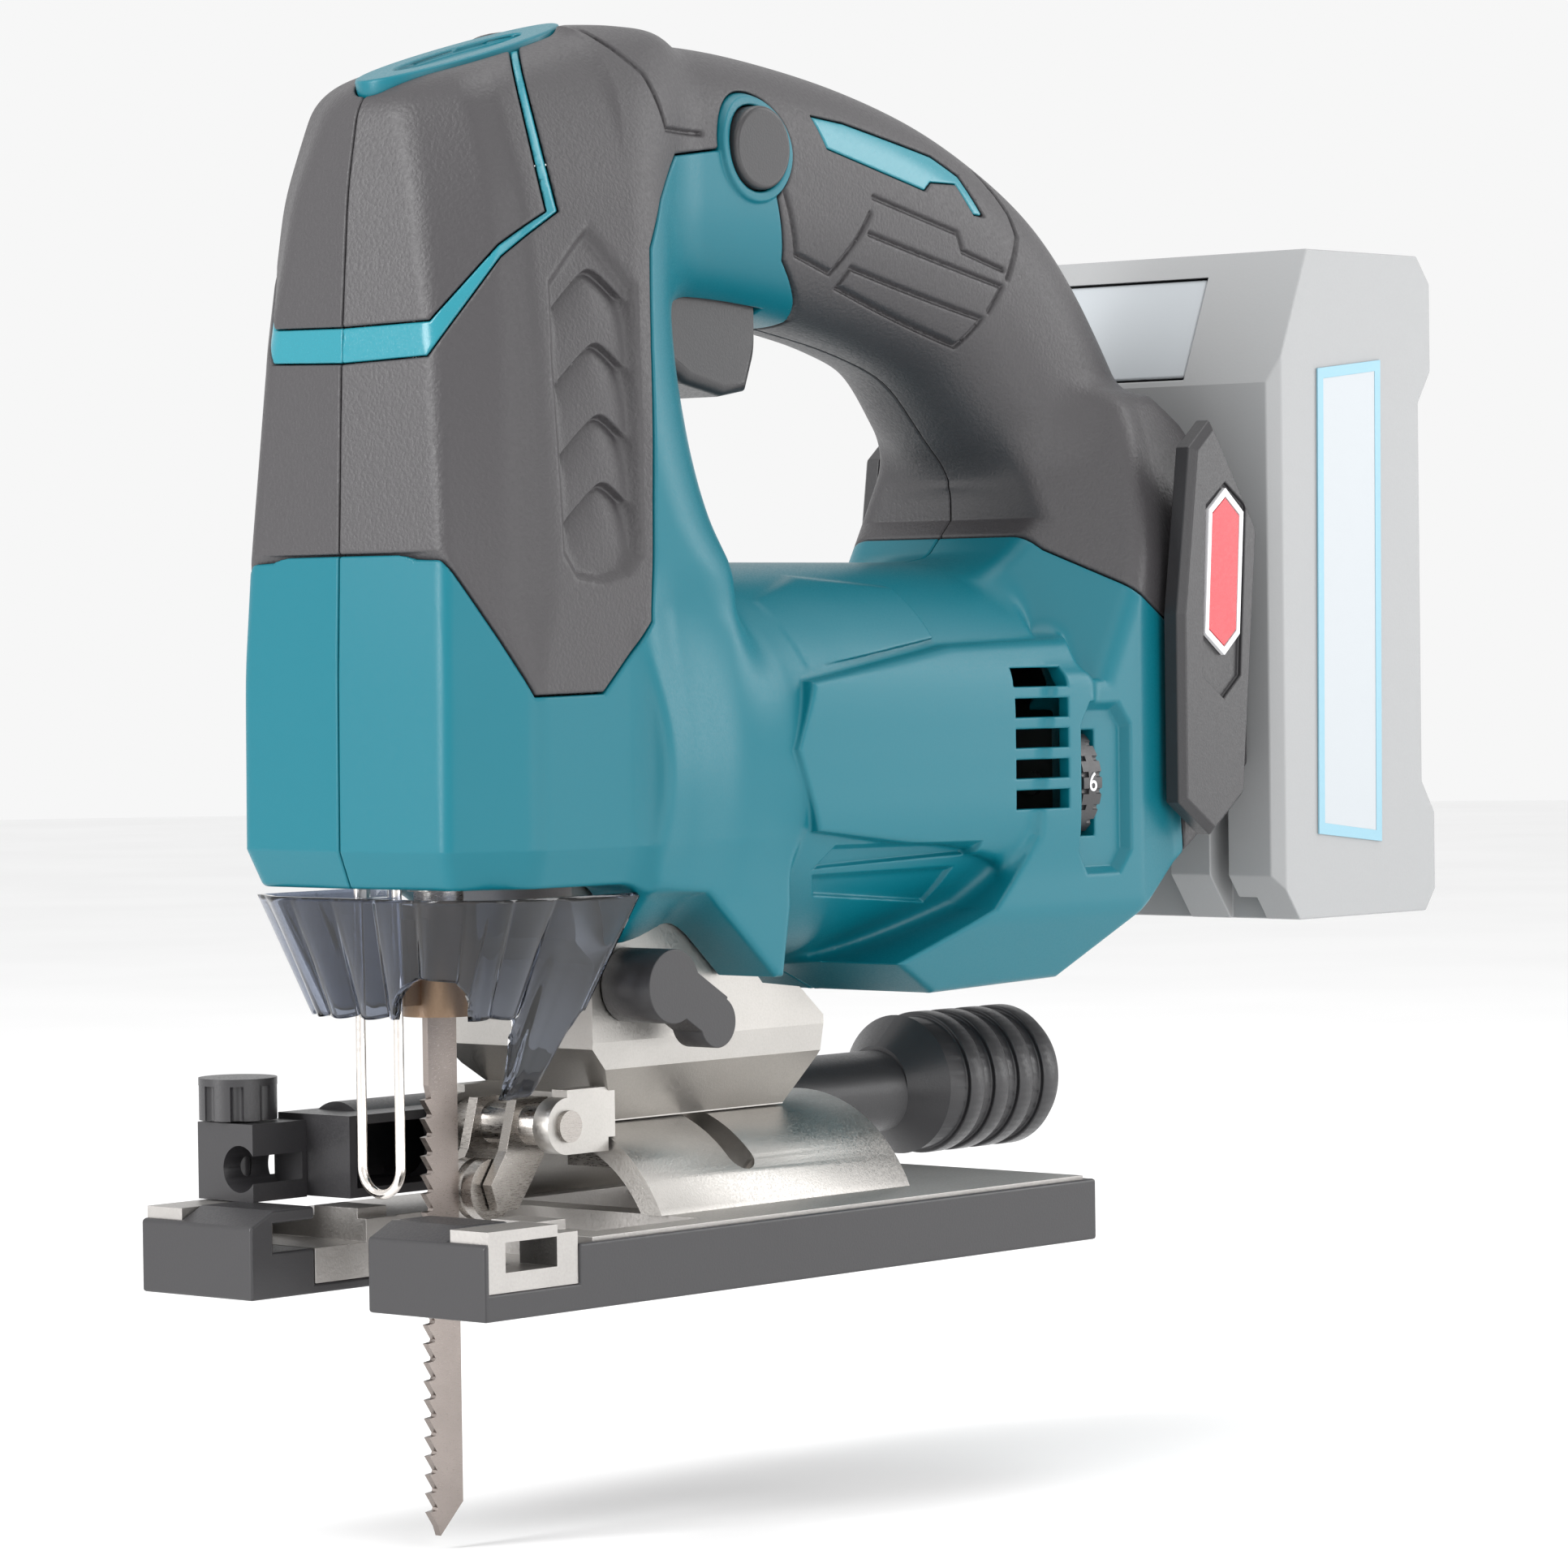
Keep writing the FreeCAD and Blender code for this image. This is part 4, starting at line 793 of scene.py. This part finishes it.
label_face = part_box("battery_label")[0][1] / MM
LABEL_OUT = [(187.4, 67.2), (206.7, 65.2), (207.7, 152.7), (188.4, 150.7)]
LABEL_IN = [(189.2, 69.1), (205.0, 67.3), (205.9, 150.6), (190.1, 148.9)]
plate("label_border", LABEL_OUT, label_face - 0.1, label_face + 0.25, "battery", "battery_trim",
      LABEL_BLUE, hole=LABEL_IN)

figure = bpy.data.curves.new("dial_figure", "FONT")
figure.body = "6"
figure.size = 4.6 * MM
figure.extrude = 0.08 * MM
figure.align_x = figure.align_y = "CENTER"
figure.resolution_u = 6
flat = bpy.data.objects.new("figure_source", figure)
bpy.context.scene.collection.objects.link(flat)
bpy.context.view_layer.update()
digit_mesh = bpy.data.meshes.new_from_object(flat.evaluated_get(bpy.context.evaluated_depsgraph_get()))
bpy.data.objects.remove(flat)
digit_mesh.transform(Matrix.Translation((0.127, -0.03452, 0.078)) @ Matrix.Rotation(math.pi / 2, 4, "X"))
digit = bpy.data.objects.new("dial_digit", digit_mesh)
bpy.context.scene.collection.objects.link(digit)
dress(digit, "dial", "battery_trim", BADGE_WHITE)


# ---- carried-over metal and plastic parts --------------------------------------------------
def finish_node(name, slot, bevel=0.0, angle=32):
    node = NODES[name]
    node.data.materials.clear()
    node.data.materials.append(M[slot])
    if bevel:
        weld = node.modifiers.new("weld", "WELD")
        weld.merge_threshold = 0.000002
        flat = node.modifiers.new("flat", "DECIMATE")
        flat.decimate_type = "DISSOLVE"
        flat.angle_limit = math.radians(0.5)
        edge = node.modifiers.new("edges", "BEVEL")
        edge.width = bevel * MM
        edge.segments = 2
        edge.limit_method = "ANGLE"
        edge.angle_limit = math.radians(angle)
        edge.harden_normals = True


BEVELS = {
    "guard_left": 1.1, "guard_right": 1.1, "battery_case": 1.0, "battery_latch": 0.6,
    "sole_cover": 1.2, "sole_plate": 0.25, "gear_case": 0.5, "orbit_lever": 0.6,
    "nozzle_bracket": 0.5, "bevel_quadrant": 0.25, "nose_cap": 0.5, "roller_fork": 0.25,
    "trigger": 0.5, "hose_adapter": 0.3, "battery_label": 0.1,
}
for part in frame["record"]["subparts"]:
    finish_node(part["node"], part["material_slot"], BEVELS.get(part["node"], 0.0))


# ---- camera, light and floor ---------------------------------------------------------------
CENTRE = (0.09, 0.0, 0.09)


def area(name, place, size, power):
    lamp = bpy.data.lights.new(name, "AREA")
    lamp.shape = "RECTANGLE"
    lamp.size, lamp.size_y = size
    lamp.energy = power
    holder = bpy.data.objects.new(name, lamp)
    holder.location = place
    holder.rotation_euler = (Vector(CENTRE) - Vector(place)).to_track_quat("-Z", "Y").to_euler()
    bpy.context.scene.collection.objects.link(holder)


area("key_left", (-0.8, 0.25, 0.45), (0.3, 0.9), 9.0)
area("front_soft", (-0.25, -1.0, 0.5), (0.7, 0.7), 3.4)
area("low_fill", (0.15, -0.9, 0.02), (1.0, 0.12), 1.6)
area("top_soft", (0.15, -0.1, 1.0), (0.9, 0.5), 3.0)
area("rear_rim", (0.8, -0.45, 0.4), (0.3, 0.8), 3.0)

world = bpy.data.worlds.new("studio")
world.use_nodes = True
world.node_tree.nodes["Background"].inputs["Color"].default_value = (1, 1, 1, 1)
world.node_tree.nodes["Background"].inputs["Strength"].default_value = 0.93
bpy.context.scene.world = world

FLOOR_Z = -0.0415
floor_mesh = bpy.data.meshes.new("floor")
floor_shape = bmesh.new()
bmesh.ops.create_circle(floor_shape, cap_ends=True, radius=4.0, segments=96)
floor_shape.to_mesh(floor_mesh)
floor = bpy.data.objects.new("floor", floor_mesh)
floor.location = (0, 0, FLOOR_Z)
bpy.context.scene.collection.objects.link(floor)
floor_material, floor_tree, floor_shader, floor_place = new_material("pale_floor")
floor_tint = ramp(floor_tree, noise(floor_tree, floor_place, 6, 2),
                  [(0.3, (0.92, 0.92, 0.92, 1)), (0.7, (0.95, 0.95, 0.95, 1))])
floor_tree.links.new(floor_tint, floor_shader.inputs["Base Color"])
floor_shader.inputs["Roughness"].default_value = 0.9
floor_shader.inputs["Specular IOR Level"].default_value = 0.1
floor_mesh.materials.append(floor_material)

CAMERA_AT = Vector((-0.66590, -0.65947, 0.10409))
CAMERA_TARGET = Vector((0.08564, 0.0, 0.07871))
CAMERA_ROLL = math.radians(-0.753)
camera = bpy.data.objects.new("camera", bpy.data.cameras.new("camera"))
camera.data.lens = 134.52
camera.data.sensor_width = 36.0
camera.data.clip_start, camera.data.clip_end = 0.01, 20
ahead = (CAMERA_TARGET - CAMERA_AT).normalized()
rightward = ahead.cross(Vector((0, 0, 1))).normalized()
upward = rightward.cross(ahead)
axis_x = rightward * math.cos(CAMERA_ROLL) + upward * math.sin(CAMERA_ROLL)
axis_y = upward * math.cos(CAMERA_ROLL) - rightward * math.sin(CAMERA_ROLL)
turn = Matrix((axis_x, axis_y, -ahead)).transposed().to_4x4()
camera.matrix_world = Matrix.Translation(CAMERA_AT) @ turn
bpy.context.scene.collection.objects.link(camera)
bpy.context.scene.camera = camera
bpy.context.scene.view_settings.view_transform = "Standard"
